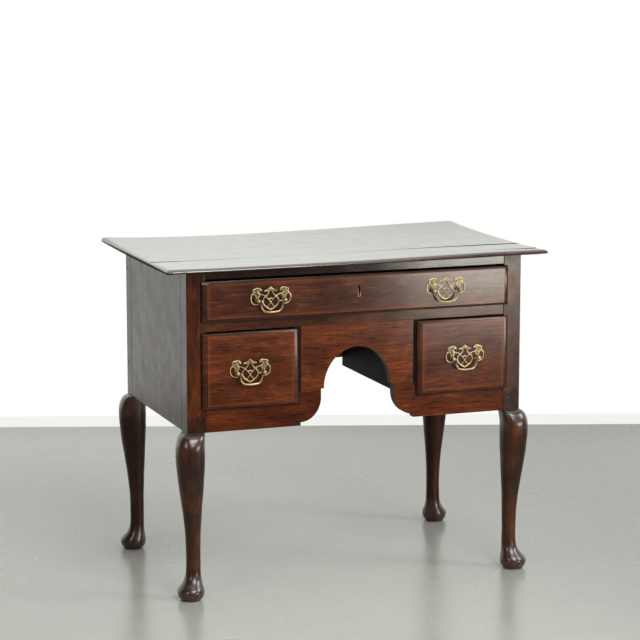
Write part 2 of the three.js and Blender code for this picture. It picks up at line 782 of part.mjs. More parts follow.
// Swan-neck bail: pins in the ball heads, thickest in the middle of its flattened bow
function bail() {
  const half = bailShares.map(([x, z]) => new THREE.Vector3(x * bailHalfSpan, headCentre, -z * bailDrop));
  half[0].x = bailPinTip;
  const other = half.slice(0, -1).reverse().map((point) => new THREE.Vector3(-point.x, point.y, point.z));
  const curve = new THREE.CatmullRomCurve3([...half, ...other], false, 'centripetal');
  const forward = new THREE.Vector3(0, 1, 0);
  const rings = [];
  for (let step = 0; step <= bailSteps; step += 1) {
    const share = step / bailSteps;
    const middle = curve.getPoint(share);
    const across = curve.getTangent(share).cross(forward).normalize();
    const radius = mix(bailPinRadius, bailRadius, Math.sin(Math.PI * share));
    rings.push(Array.from({ length: bailSides }, (_, side) => {
      const angle = (2 * Math.PI * side) / bailSides;
      return middle.clone().addScaledVector(across, radius * Math.cos(angle))
        .addScaledVector(forward, -radius * Math.sin(angle));
    }));
  }
  return loft(rings);
}

// Assembly
const lowboy = new THREE.Group();

lowboy.add(
  ...pair('leg_front', frontLeg, darkWood),
  ...pair('leg_back', rearLeg, darkWood),
  ...pair('side_panel', sidePanel(), darkWood),
  piece('back_board_lower', backBoard(backBoardBottom, backBoardJoint - fitGap), secondaryWood),
  piece('back_board_upper', backBoard(backBoardJoint, carcaseTop - fitGap), secondaryWood),
  piece('top_rail', topRail(), darkWood),
  piece('mid_rail', midRail(), darkWood),
  ...pair('bottom_rail', bottomRail(), darkWood),
  piece('apron_board', apronBoard(), darkWood),
  ...pair('partition', partition(), darkWood),
  ...pair('long_runner', sideRunner(midRailTop, longRunnerThickness), secondaryWood),
  ...pair('side_runner', sideRunner(bottomRailTop, smallRunnerThickness), secondaryWood),
  ...pair('inner_runner', innerRunner(), secondaryWood),
  ...pair('kicker', kicker(), secondaryWood),
  piece('top_board_front', topBoard(frontY - frontOverhang - cutOverrun, topJointY - fitGap), darkWood),
  piece('top_board_back', topBoard(topJointY, backY + backOverhang + cutOverrun), darkWood),
);

const plateGeometry = backplate();
const leftPost = handlePost();
const rightPost = mirroredX(leftPost);
const bailGeometry = bail();

function handle(name, x, z) {
  const group = new THREE.Group();
  group.position.set(x, 0, z);
  const left = piece(`${name}_post_left`, leftPost, agedBrass);
  const right = piece(`${name}_post_right`, rightPost, agedBrass);
  left.position.x = -boring / 2;
  right.position.x = boring / 2;
  group.add(piece(`${name}_plate`, plateGeometry, agedBrass), left, right,
    piece(`${name}_bail`, bailGeometry, agedBrass));
  return group;
}

function drawer(name, x, z, parts, extras) {
  const group = new THREE.Group();
  group.position.set(x, frontY, z + drawerLift);
  group.add(piece(`${name}_front`, parts.front, darkWood), ...pair(`${name}_side`, parts.side, secondaryWood),
    piece(`${name}_back`, parts.back, secondaryWood), piece(`${name}_bottom`, parts.bottom, secondaryWood),
    ...extras);
  return group;
}

const lock = lockParts(longFrontHeight);
const longHandles = [[-longHandleSpread, longHandleHeight], [longHandleSpread, longHandleHeight]];
const longParts = drawerParts(2 * postInner, longFrontHeight, longHandles,
  [lock.recess, keyhole(-fieldProud - cutOverrun, frontThickness)]);
lowboy.add(drawer('long_drawer', 0, midRailTop, longParts, [
  piece('lock_case', lock.lockCase, lockIron),
  piece('lock_bolt', lock.bolt, lockIron),
  handle('long_handle_left', -longHandleSpread, longHandleHeight),
  handle('long_handle_right', longHandleSpread, longHandleHeight),
]));

[['left', -1], ['right', 1]].forEach(([side, sign]) => {
  const shift = sign * smallHandleShift;
  const parts = drawerParts(smallOpeningWidth, smallFrontHeight, [[shift, smallHandleHeight]], []);
  lowboy.add(drawer(`${side}_drawer`, sign * smallDrawerX, bottomRailTop, parts,
    [handle(`${side}_handle`, shift, smallHandleHeight)]));
});

export default lowboy;
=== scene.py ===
"""Lowboy with an arched kneehole: finished pieces, materials, stage and camera."""

import math

import bmesh
import bpy
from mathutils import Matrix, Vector, kdtree, noise


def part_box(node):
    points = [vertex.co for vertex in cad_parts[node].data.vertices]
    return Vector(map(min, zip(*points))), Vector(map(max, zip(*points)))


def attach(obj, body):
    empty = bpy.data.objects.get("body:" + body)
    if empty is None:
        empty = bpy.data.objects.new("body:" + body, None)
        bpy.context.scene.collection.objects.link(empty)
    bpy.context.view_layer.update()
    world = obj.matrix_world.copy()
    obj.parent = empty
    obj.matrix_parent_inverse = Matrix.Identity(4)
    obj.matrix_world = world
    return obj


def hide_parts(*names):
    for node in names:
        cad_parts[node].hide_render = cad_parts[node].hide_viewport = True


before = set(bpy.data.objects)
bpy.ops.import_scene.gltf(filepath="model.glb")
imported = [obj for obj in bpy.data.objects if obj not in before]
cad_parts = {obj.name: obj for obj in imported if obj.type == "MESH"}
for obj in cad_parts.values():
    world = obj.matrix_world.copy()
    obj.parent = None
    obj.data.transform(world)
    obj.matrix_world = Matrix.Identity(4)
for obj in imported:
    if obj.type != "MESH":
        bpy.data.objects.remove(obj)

bl_info = {
    "name": "Lowboy",
    "version": (1, 0, 0),
    "blender": (4, 5, 0),
    "location": "View3D > Sidebar > Lowboy",
    "description": "Finishes the lowboy's wood, brass and iron and sets its stage",
    "category": "Add Mesh",
}

MM = 0.001
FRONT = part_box("mid_rail")[0].y
TOP_LOW, TOP_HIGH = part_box("top_board_front")
POST = 40 * MM
CASE_HALF = 375 * MM
CASE_BACK = 234 * MM
CASE_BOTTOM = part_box("bottom_rail_left")[0].z
CASE_TOP = TOP_LOW.z
SIDES = (("left", -1), ("right", 1))
# The middle and light grain of each drawer front
DRAWERS = {
    # The long drawer's greyer colour is partly a painted sheen of reflected light on its face
    "long_drawer": ((0.058, 0.0165, 0.0075), (0.15, 0.042, 0.0155)),
    "left_drawer": ((0.098, 0.023, 0.008), (0.225, 0.056, 0.0165)),
    "right_drawer": ((0.09, 0.022, 0.0085), (0.2, 0.052, 0.017)),
}


# Sizes and colours a user would change


def size_setting(label, text, default, low, high, unit="LENGTH"):
    return bpy.props.FloatProperty(
        name=label, description=text, default=default, min=low, max=high, unit=unit
    )


def colour_setting(label, text, default):
    return bpy.props.FloatVectorProperty(
        name=label, description=text, subtype="COLOR", size=4, default=(*default, 1)
    )


class LowboySizes(bpy.types.PropertyGroup):
    edge_wear: size_setting(
        "Edge wear", "How far the arrises of the old boards are rounded", 0.0009, 0.0002, 0.003
    )
    moulding_wear: size_setting(
        "Moulding wear", "How far the drawer mouldings' edges are rounded", 0.0005, 0.0001, 0.002
    )
    carving_ripple: size_setting(
        "Carving ripple", "Depth of the uneven hand work on the legs", 0.0004, 0.0, 0.002
    )
    plate_grid: size_setting(
        "Plate grid", "Spacing of the points on the cast plates, in mm", 0.34, 0.2, 1.0, "NONE"
    )


class LowboyColours(bpy.types.PropertyGroup):
    wood_dark: colour_setting(
        "Dark grain", "Dark streaks in the waxed wood", (0.018, 0.005, 0.0022)
    )
    wood_mid: colour_setting(
        "Middle grain", "Main colour of the waxed wood", (0.084, 0.0175, 0.0045)
    )
    wood_light: colour_setting(
        "Light grain", "Light streaks in the waxed wood", (0.17, 0.042, 0.011)
    )
    wood_worn: colour_setting(
        "Worn wood", "Where hands have rubbed the finish thin", (0.24, 0.06, 0.014)
    )
    # Old wax and dirt, and also the colour of painted shade in the keyhole, on the drawer lips and
    # at the knee tops
    wood_dirt_and_shade: colour_setting(
        "Grime", "Old wax and dirt in the corners", (0.011, 0.0075, 0.0052)
    )
    brass: colour_setting("Brass", "The rubbed brass", (0.6, 0.455, 0.255))
    brass_old: colour_setting("Tarnish", "The brass in its recesses", (0.05, 0.034, 0.014))


# Numbers and curves


def between(start, end, share):
    return start + (end - start) * share


def share_of(value, low, high):
    """How far the value has come from low to high, from 0 to 1."""
    return min(1.0, max(0.0, (value - low) / (high - low)))


def ease(value, low, high):
    share = share_of(value, low, high)
    return share * share * (3 - 2 * share)


def curve_points(points, steps):
    """Points along a smooth line through the given ones, evenly spread by share."""
    padded = [2 * points[0] - points[1], *points, 2 * points[-1] - points[-2]]
    spans = len(points) - 1
    found = []
    for step in range(steps + 1):
        place = spans * step / steps
        span = min(int(place), spans - 1)
        t = place - span
        a, b, c, d = padded[span : span + 4]
        bend = (2 * a - 5 * b + 4 * c - d) * t**2 + (3 * b - a - 3 * c + d) * t**3
        found.append(0.5 * (2 * b + (c - a) * t + bend))
    return found


# Mesh helpers


def verts_in(geometry):
    return [item for item in geometry if isinstance(item, bmesh.types.BMVert)]


def edges_in(geometry):
    return [item for item in geometry if isinstance(item, bmesh.types.BMEdge)]


def linked(name, bm):
    """A new object in the scene with the bmesh as its mesh. The bmesh is freed."""
    mesh = bpy.data.meshes.new(name)
    bm.to_mesh(mesh)
    bm.free()
    piece = bpy.data.objects.new(name, mesh)
    bpy.context.scene.collection.objects.link(piece)
    return piece


def finish(name, bm, body, material, slot, nodes, smooth):
    """Turn a bmesh into a piece that rides on its body and stands for its nodes."""
    piece = linked(name, bm)
    mesh = piece.data
    mesh.polygons.foreach_set("use_smooth", [True] * len(mesh.polygons))
    mesh.set_sharp_from_angle(angle=math.radians(smooth))
    mesh.materials.append(material)
    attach(piece, body)
    if nodes:
        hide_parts(*nodes)
    if slot.endswith("wood"):
        piece.modifiers.new("Even shading", "WEIGHTED_NORMAL").keep_sharp = True
    return piece


def paint_node(node, material):
    """Give a node that keeps its own mesh a material."""
    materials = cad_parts[node].data.materials
    materials.clear()
    materials.append(material)


def copy_of(node):
    """The node's own solid with its flat faces made whole."""
    bm = bmesh.new()
    bm.from_mesh(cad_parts[node].data)
    bmesh.ops.remove_doubles(bm, verts=bm.verts, dist=0.000005)
    flat = {"angle_limit": math.radians(0.4), "use_dissolve_boundaries": False}
    bmesh.ops.dissolve_limit(bm, verts=bm.verts, edges=bm.edges, **flat)
    return bm


def bevel(bm, edges, width, segments, clamp=False):
    shape = {"offset_type": "OFFSET", "profile": 0.5, "affect": "EDGES", "material": -1}
    bmesh.ops.bevel(bm, geom=edges, offset=width, segments=segments, clamp_overlap=clamp, **shape)


def soften(bm, width, angle, keep=None):
    """Round the edges that turn by more than the angle."""
    limit = math.radians(angle)
    sharp = [e for e in bm.edges if len(e.link_faces) == 2 and e.calc_face_angle(0.0) > limit]
    bevel(bm, [e for e in sharp if keep is None or keep(e)], width, 2, clamp=True)


def cut_away(bm, place, normal):
    """Take off what lies beyond a plane and close the cut. Gives the cut's faces."""
    whole = [*bm.verts, *bm.edges, *bm.faces]
    plane = {"plane_co": place, "plane_no": normal, "clear_outer": True}
    made = bmesh.ops.bisect_plane(bm, geom=whole, dist=0.000001, **plane)
    return bmesh.ops.holes_fill(bm, edges=edges_in(made["geom_cut"]), sides=0)["faces"]


def thicken(bm, faces, move):
    grown = bmesh.ops.extrude_face_region(bm, geom=faces)["geom"]
    bmesh.ops.translate(bm, verts=verts_in(grown), vec=move)


def rub(bm, amount):
    """Store how bright each point of a brass mesh is, a function of its place: rubbed wear, and in
    places a painted highlight.
    """
    rubbed = bm.verts.layers.float.new("rubbed")
    for vert in bm.verts:
        vert[rubbed] = amount(vert.co)


def skin(bm, rings):
    """Start from a circle and pull it through the rings, then close both ends."""
    count = len(rings[0])
    verts = bmesh.ops.create_circle(bm, segments=count, radius=1, cap_ends=False)["verts"]
    for number, ring in enumerate(rings):
        if number:
            edges = [bm.edges.get(pair) for pair in zip(verts, verts[1:] + verts[:1])]
            grown = verts_in(bmesh.ops.extrude_edge_only(bm, edges=edges)["geom"])
            above = {edge.other_vert(vert): vert for vert in grown for edge in vert.link_edges}
            verts = [above[vert] for vert in verts]
        for vert, place in zip(verts, ring):
            vert.co = place
    bmesh.ops.holes_fill(bm, edges=[e for e in bm.edges if e.is_boundary], sides=0)
    bmesh.ops.recalc_face_normals(bm, faces=bm.faces)


# Shader helpers


class Graph:
    """A node tree being built: each call adds a node and most give its output."""

    def __init__(self, tree):
        self.tree = tree

    def feed(self, socket, value):
        """Link a socket to another one or give it a constant. Colours get their alpha."""
        if isinstance(value, bpy.types.NodeSocket):
            self.tree.links.new(value, socket)
        else:
            socket.default_value = (*value[:3], 1) if socket.type == "RGBA" else value

    def node(self, kind, inputs=None, **settings):
        made = self.tree.nodes.new(kind)
        for key, value in settings.items():
            setattr(made, key, value)
        for key, value in (inputs or {}).items():
            self.feed(made.inputs[key], value)
        return made

    def maths(self, operation, a, b=0.5, clamp=False):
        settings = {"operation": operation, "use_clamp": clamp}
        return self.node("ShaderNodeMath", {0: a, 1: b}, **settings).outputs[0]

    def plus(self, a, b):
        return self.maths("ADD", a, b)

    def minus(self, a, b):
        return self.maths("SUBTRACT", a, b)

    def times(self, a, b):
        return self.maths("MULTIPLY", a, b)

    def vector(self, operation, a, b=(0, 0, 0)):
        return self.node("ShaderNodeVectorMath", {0: a, 1: b}, operation=operation).outputs[0]

    def axis(self, vector, name):
        return self.node("ShaderNodeSeparateXYZ", {0: vector}).outputs[name]

    def ramp(self, value, low, high, start=0.0, end=1.0):
        """Go smoothly from start to end as the value goes from low to high."""
        inputs = {"Value": value, "From Min": low, "From Max": high, "To Min": start, "To Max": end}
        made = self.node("ShaderNodeMapRange", inputs, interpolation_type="SMOOTHSTEP")
        return made.outputs[0]

    def mix(self, share, a, b, blend="MIX"):
        """Blend two colours. The node's inputs 6 and 7 and its output 2 are colours."""
        settings = {"data_type": "RGBA", "blend_type": blend}
        return self.node("ShaderNodeMix", {0: share, 6: a, 7: b}, **settings).outputs[2]

    def cloud(self, vector, scale, detail, roughness):
        inputs = {"Vector": vector, "Scale": scale, "Detail": detail, "Roughness": roughness}
        return self.node("ShaderNodeTexNoise", inputs).outputs["Fac"]

    def bump(self, strength, distance, height):
        inputs = {"Strength": strength, "Distance": distance, "Height": height}
        return self.node("ShaderNodeBump", inputs).outputs[0]

    def mix_shaders(self, share, a, b):
        inputs = {0: share, 1: a.outputs[0], 2: b.outputs[0]}
        return self.node("ShaderNodeMixShader", inputs)

    def surface(self, inputs):
        """End the tree in a Principled shader with these inputs."""
        self.end(self.node("ShaderNodeBsdfPrincipled", inputs))

    def end(self, shader):
        self.node("ShaderNodeOutputMaterial", {"Surface": shader.outputs[0]})


def new_material(name):
    """A bare material, its graph and the place on the object as a vector."""
    made = bpy.data.materials.new(name)
    made.use_nodes = True
    made.node_tree.nodes.clear()
    graph = Graph(made.node_tree)
    return made, graph, graph.node("ShaderNodeTexCoord").outputs["Object"]


def new_group(name, inputs, outputs):
    """A bare node group's graph, what it's given and what it gives."""
    tree = bpy.data.node_groups.new(name, "ShaderNodeTree")
    for direction, sockets in (("INPUT", inputs), ("OUTPUT", outputs)):
        for label, kind in sockets.items():
            tree.interface.new_socket(label, in_out=direction, socket_type=f"NodeSocket{kind}")
    given = tree.nodes.new("NodeGroupInput").outputs
    return Graph(tree), given, tree.nodes.new("NodeGroupOutput").inputs


def timber_grain():
    """Streaks, flecks and figure of a board whose length runs along X."""
    known = bpy.data.node_groups.get("Timber grain")
    if known:
        return known
    inputs = {"Vector": "Vector", "Flecks": "Float", "Blotches": "Float"}
    inputs.update({"Dark": "Color", "Middle": "Color", "Light": "Color"})
    graph, given, put = new_group("Timber grain", inputs, {"Color": "Color", "Height": "Float"})
    where, dark, flecks = given["Vector"], given["Dark"], given["Flecks"]
    inputs = {"Vector": where, "Scale": 5.0, "Detail": 2.0}
    wander = graph.node("ShaderNodeTexNoise", inputs).outputs["Color"]
    centred = graph.vector("SUBTRACT", wander, (0.5, 0.5, 0.5))
    swerve = graph.vector("MULTIPLY", centred, (0.0, 0.016, 0.016))
    bent = graph.vector("ADD", where, swerve)

    def drawn_out(along, across, roughness=0.5, detail=2.0):
        """Noise that is finer across the board than along it."""
        scaled = graph.vector("MULTIPLY", bent, (along, across, across))
        return graph.cloud(scaled, 1.0, detail, roughness)

    figure = drawn_out(9.0, 38.0, detail=3.0)
    streak = drawn_out(22.0, 240.0)
    fine = drawn_out(70.0, 760.0)
    fleck = drawn_out(75.0, 1150.0, 0.6)
    dash = drawn_out(40.0, 620.0, 0.7)
    blotch = graph.cloud(where, 9.0, 3.0, 0.6)
    both = graph.plus(graph.times(figure, 0.34), graph.times(streak, 0.33))
    tone = graph.ramp(graph.plus(both, graph.times(fine, 0.33)), 0.29, 0.71)
    base = graph.mix(graph.ramp(tone, 0.0, 0.5), dark, given["Middle"])
    base = graph.mix(graph.ramp(tone, 0.5, 1.0), base, given["Light"])
    dashes = graph.times(graph.ramp(dash, 0.56, 0.8), flecks)
    pores = graph.times(graph.ramp(fleck, 0.58, 0.72), graph.times(flecks, 0.7))
    shade = graph.times(graph.ramp(blotch, 0.62, 0.34), given["Blotches"])
    for mask in (dashes, pores, graph.times(shade, 0.75)):
        base = graph.mix(mask, base, dark)
    graph.feed(put["Color"], base)
    graph.feed(put["Height"], graph.plus(streak, graph.times(figure, 1.5)))
    return graph.tree


def rim_mask():
    """How near a point lies to the border of a panel seen from the front."""
    known = bpy.data.node_groups.get("Rim")
    if known:
        return known
    inputs = {"Vector": "Vector", "Centre": "Vector", "Half": "Vector"}
    inputs.update({"Width": "Float", "Uneven": "Float"})
    graph, given, put = new_group("Rim", inputs, {"Inside": "Float", "Outside": "Float"})
    away = graph.vector("ABSOLUTE", graph.vector("SUBTRACT", given["Vector"], given["Centre"]))
    left = graph.vector("SUBTRACT", given["Half"], away)
    depth = graph.maths("MINIMUM", graph.axis(left, "X"), graph.axis(left, "Z"))
    rough = graph.minus(graph.cloud(given["Vector"], 60.0, 3.0, 0.6), 0.5)
    reach = graph.times(given["Width"], graph.plus(1.0, graph.times(rough, given["Uneven"])))
    near = graph.maths("SUBTRACT", 1.0, graph.maths("DIVIDE", depth, reach), clamp=True)
    inside = graph.times(near, graph.maths("GREATER_THAN", depth, -0.0002))
    graph.feed(put["Inside"], inside)
    graph.feed(put["Outside"], graph.maths("LESS_THAN", depth, 0.0))
    return graph.tree


# Materials

TURNS = {"X": (0, 0, 0), "Y": (0, 0, math.radians(90)), "Z": (0, math.radians(90), 0)}


def wood(
    name, along, dark=None, middle=None, light=None, flecks=0.16, blotches=0.6, shift=(0, 0, 0),
    rough=0.36, swing=0.16, gloss=0.3, bump=0.08, coat=0.0, coat_rough=0.15, rims=(), spots=(),
    inner_shade=0.0, lips=None, under=None, post=None,
):
    """Waxed dark wood with its grain along the given axis.

    Rims tint a panel's border: centre, half size, width, tint, strength, unevenness, side.
    Spots darken toward the dirt and shade colour: centre, spread, strength. Lips lie outside a
    panel's centre and half.
    """
    known = bpy.data.materials.get(name)
    if known:
        return known
    colours = bpy.context.scene.lowboy_colours
    made, graph, where = new_material(name)
    inputs = {"Vector": where, "Location": shift, "Rotation": TURNS[along]}
    inputs = {
        "Vector": graph.node("ShaderNodeMapping", inputs).outputs[0],
        "Dark": dark or colours.wood_dark,
        "Middle": middle or colours.wood_mid,
        "Light": light or colours.wood_light,
        "Flecks": flecks,
        "Blotches": blotches,
    }
    grain = graph.node("ShaderNodeGroup", inputs, node_tree=timber_grain()).outputs

    def rim(side, centre, half, **inputs):
        inputs.update({"Vector": where, "Centre": centre, "Half": half})
        return graph.node("ShaderNodeGroup", inputs, node_tree=rim_mask()).outputs[side]

    colour = grain["Color"]
    for centre, half, width, tint, strength, uneven, side in rims:
        mask = rim(side, centre, half, Width=width, Uneven=uneven)
        colour = graph.mix(graph.times(mask, strength), colour, tint)
    for centre, spread, strength in spots:
        away = graph.vector("DIVIDE", graph.vector("SUBTRACT", where, centre), spread)
        length = graph.node("ShaderNodeVectorMath", {0: away}, operation="LENGTH").outputs["Value"]
        mask = graph.ramp(length, 1.05, 0.75, 0.0, strength)
        colour = graph.mix(mask, colour, colours.wood_dirt_and_shade)
    patch = graph.cloud(where, 26.0, 4.0, 0.6)
    rough = graph.ramp(patch, 0.3, 0.7, rough - swing / 2, rough + swing / 2)

    def shade(mask, tint, added, blend="MIX"):
        """Tint the masked part and make it rougher."""
        mixed = graph.mix(mask, colour, tint, blend)
        return mixed, graph.plus(rough, graph.times(mask, added))

    across, depth, height = (graph.axis(where, name) for name in "XYZ")
    if inner_shade:
        hidden = graph.ramp(depth, FRONT + 0.0003, FRONT + 0.0012, 0.0, inner_shade)
        colour, rough = shade(hidden, (0.006, 0.004, 0.003), 0.5)
    if lips:
        rough = graph.plus(rough, graph.times(rim("Outside", *lips), 0.1))
    # Painted shade: the underside of the top's moulding is darkened, made rougher and left without
    # coat
    if under:
        low, high, fade = under
        left_end = graph.ramp(across, -0.41, -0.416, 0.0, 0.0028)
        below = graph.ramp(graph.minus(height, left_end), low, high)
        colour, rough = shade(below, (0.008, 0.006, 0.005), 0.7)
        thin = graph.ramp(across, -0.25, 0.4, coat, coat - fade)
        coat = graph.times(thin, graph.minus(1.0, below))
    if post:
        tint, added, bands = post
        above = graph.maths("GREATER_THAN", height, CASE_BOTTOM + 0.0002)
        colour, rough = shade(above, tint, added, "MULTIPLY")
        polished = [graph.ramp(height, start, end, 0.0, coat) for start, end in bands]
        coat = graph.times(graph.maths("MAXIMUM", *polished), graph.minus(1.0, above))
    graph.surface({
        "Base Color": colour,
        "Roughness": rough,
        "Normal": graph.bump(bump, 0.0006, grain["Height"]),
        "Coat Weight": coat,
        "Coat Roughness": coat_rough,
        "Specular IOR Level": gloss,
    })
    return made


def dry_wood(name, along):
    """Unfinished inner wood, brown with age and dust."""
    return wood(
        name, along, dark=(0.1, 0.052, 0.026), middle=(0.26, 0.155, 0.08),
        light=(0.4, 0.26, 0.145), flecks=0.35, blotches=0.35, rough=0.74, swing=0.1, bump=0.4,
    )


def brass_metal():
    """Old brass, bright where it's rubbed and where a highlight is painted, dull in its recesses
    and where shade is painted.
    """
    known = bpy.data.materials.get("Aged brass")
    if known:
        return known
    colours = bpy.context.scene.lowboy_colours
    made, graph, where = new_material("Aged brass")
    rubbed = graph.node("ShaderNodeAttribute", attribute_name="rubbed").outputs["Fac"]
    mottle = graph.cloud(where, 420.0, 4.0, 0.65)
    patch = graph.cloud(where, 70.0, 3.0, 0.6)
    kept = graph.plus(graph.times(rubbed, 1.15), graph.times(graph.minus(mottle, 0.5), 1.3))
    bright = graph.ramp(kept, 0.3, 0.74)
    colour = graph.mix(bright, colours.brass_old, colours.brass)
    dull = (0.185, 0.125, 0.052)
    graph.surface({
        "Base Color": graph.mix(graph.ramp(patch, 0.45, 0.7, 0.0, 0.55), colour, dull),
        "Roughness": graph.ramp(bright, 0.0, 1.0, 0.55, 0.28),
        "Normal": graph.bump(0.3, 0.0002, mottle),
        "Metallic": 0.88,
    })
    return made


def iron_metal():
    """Dark lock iron with a little rust."""
    made, graph, where = new_material("Dark iron")
    rust = graph.cloud(where, 160.0, 5.0, 0.65)
    black, brown = (0.014, 0.0125, 0.011), (0.045, 0.02, 0.009)
    graph.surface({
        "Base Color": graph.mix(graph.ramp(rust, 0.5, 0.66), black, brown),
        "Roughness": graph.ramp(rust, 0.35, 0.7, 0.55, 0.8),
        "Normal": graph.bump(0.4, 0.0003, rust),
        "Metallic": 0.5,
    })
    return made


def drawer_shadow_lines():
    """Painted shadow: dark lines on the case close round each drawer front, where the fronts' lips
    shade it.
    """
    lines = []
    for drawer in DRAWERS:
        low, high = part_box(f"{drawer}_front")
        half = (high - low) / 2 + Vector((0.0022, 1.0, 0.0022))
        lines.append(((low + high) / 2, half, 0.03, (0.006, 0.005, 0.004), 0.9, 0.6, "Inside"))
    return lines


# Legs, in millimetres. Each shape is its reach beyond the corner, its inner reach and the
# powers of its outer and inner corners, where 2 is round and 40 is square.

LEG_HEIGHT = CASE_BOTTOM / MM
KNEE_HEIGHT, ANKLE_HEIGHT, PAD_HEIGHT = LEG_HEIGHT - 35, 95, 19
SQUARE = (0, POST / MM, 40, 40)
KNEE = (22, 38, 2.2, 2.4)
ANKLE = (0.9, 29.7, 2, 2)
PAD_RADIUS, PAD_INSET = 28.6, 6.6
SOLE = ((0, 21.0), (0.5, 21.6), (3.6, 21.6), (4.4, 21.9), (5.0, 22.8))
PAD_STEPS, ANKLE_STEPS, KNEE_STEPS, SHOULDER_STEPS = 12, 22, 28, 14
RING_POINTS = 56


def pad_section(height, radius):
    return (height, radius - PAD_INSET, radius + PAD_INSET, 2, 2)


def leg_sections():
    """Height, reach beyond the corner, inner reach and the two corner powers, going up."""

    def add(height, first, second, share):
        sections.append((height, *(between(a, b, share) for a, b in zip(first, second))))

    sections = [pad_section(height, radius) for height, radius in SOLE]
    sole_height, sole_radius = SOLE[-1]
    for step in range(1, PAD_STEPS + 1):
        share = step / PAD_STEPS
        radius = between(sole_radius, PAD_RADIUS, math.sqrt(1 - (1 - share) ** 2))
        sections.append(pad_section(between(sole_height, PAD_HEIGHT, share), radius))
    for step in range(ANKLE_STEPS - 1, 0, -1):
        share = step / ANKLE_STEPS
        spread = (1 - math.cos(math.pi * share**3)) / 2
        pad = pad_section(PAD_HEIGHT, PAD_RADIUS)[1:]
        add(between(ANKLE_HEIGHT, PAD_HEIGHT, share), ANKLE, pad, spread)
    for step in range(KNEE_STEPS + 1):
        share = 1 - step / KNEE_STEPS
        swell = (1 + math.cos(math.pi * share**0.95)) / 2
        add(between(KNEE_HEIGHT, ANKLE_HEIGHT, share), ANKLE, KNEE, swell)
    for step in range(1, SHOULDER_STEPS + 1):
        turn = math.sin(math.pi / 2 * step / SHOULDER_STEPS)
        draw = math.sqrt(max(0.0, 1 - turn**2))
        reaches = [between(a, b, draw) for a, b in zip(SQUARE[:2], KNEE[:2])]
        powers = [between(a, b, draw**0.03) for a, b in zip(SQUARE[2:], KNEE[2:])]
        sections.append((between(KNEE_HEIGHT, LEG_HEIGHT, turn), *reaches, *powers))
    for height in (LEG_HEIGHT + 2, CASE_TOP / MM - 0.3):
        sections.append((height, *SQUARE))
    return sections


def leg_rings(side, front):
    """Rings round one leg: side is -1 on the left, front is True for a front leg."""
    corner_y, inward = (FRONT, 1) if front else (CASE_BACK, -1)
    rings = []
    for height, out, inner, outer_power, inner_power in leg_sections():
        centre = (inner - out) / 2
        half = (inner + out) / 2
        ring = []
        for step in range(RING_POINTS):
            angle = 2 * math.pi * (step + 0.5) / RING_POINTS
            c, s = math.cos(angle), math.sin(angle)
            power = 2 / (outer_power if c < 0 and s < 0 else inner_power)
            x = (centre + half * math.copysign(abs(c) ** power, c)) * MM
            y = (centre + half * math.copysign(abs(s) ** power, s)) * MM
            ring.append(Vector((side * (CASE_HALF - x), corner_y + inward * y, height * MM)))
        rings.append(ring)
    return rings


class LOWBOY_OT_legs(bpy.types.Operator):
    """Carve the four cabriole legs, each in one piece with its corner post"""

    bl_idname = "lowboy.legs"
    bl_label = "Legs"

    def execute(self, context):
        ripple = context.scene.lowboy_sizes.carving_ripple
        for label, side in SIDES:
            for place in ("front", "back"):
                node = f"leg_{place}_{label}"
                bm = bmesh.new()
                skin(bm, leg_rings(side, place == "front"))
                bm.normal_update()
                for vert in bm.verts:
                    if 0.008 < vert.co.z < CASE_BOTTOM - 0.012:
                        vert.co += vert.normal * ripple * (noise.noise(vert.co * 38) - 0.35)
                material = self.material(context.scene.lowboy_colours, place, label, side)
                finish(f"carved_{node}", bm, "carcase", material, "dark_wood", [node], 40)
        return {"FINISHED"}

    def material(self, colours, place, label, side):
        """The back right leg stands in the others' shade, so its wood is darker."""
        shaded = 0.55 if (place, label) == ("back", "right") else 1.0
        grains = {
            "dark": (0.014, 0.005, 0.0024),
            "middle": (0.056, 0.015, 0.004),
            "light": (0.14, 0.035, 0.007),
        }
        post_middle = (side * (CASE_HALF - POST / 2), 0.0, (CASE_TOP + CASE_BOTTOM) / 2)
        post_half = (POST / 2, 1.0, (CASE_TOP - CASE_BOTTOM) / 2)
        # Darker along the post's edges and over its side faces
        post_rim = (post_middle, post_half, 0.012, colours.wood_dirt_and_shade, 0.35, 0.9, "Inside")
        # Painted shade: a dark spot on the knee top and the stile's foot, where the knee meets the
        # case
        stile_foot_shade = (side * 0.35, FRONT, CASE_BOTTOM + 0.004)
        polished = ((CASE_BOTTOM - 0.055, CASE_BOTTOM - 0.025), (0.06, 0.04))
        return wood(
            f"Waxed wood {place} leg {label}", "Z",
            **{key: tuple(part * shaded for part in tint) for key, tint in grains.items()},
            shift=(0.37 * side, 0.11 if place == "front" else 0.53, 0.0),
            gloss=0.32 if place == "front" else 0.22,
            rough=0.34, swing=0.12, coat=1.0, coat_rough=0.24, bump=0.06, blotches=1.3, flecks=0.5,
            post=((1.4, 1.22, 1.1), -0.13, polished),
            rims=(post_rim, *drawer_shadow_lines()),
            spots=[(stile_foot_shade, (0.055, 0.02, 0.034), 0.7)],
        )


# Case boards: the axis that each one's grain follows, and its own look

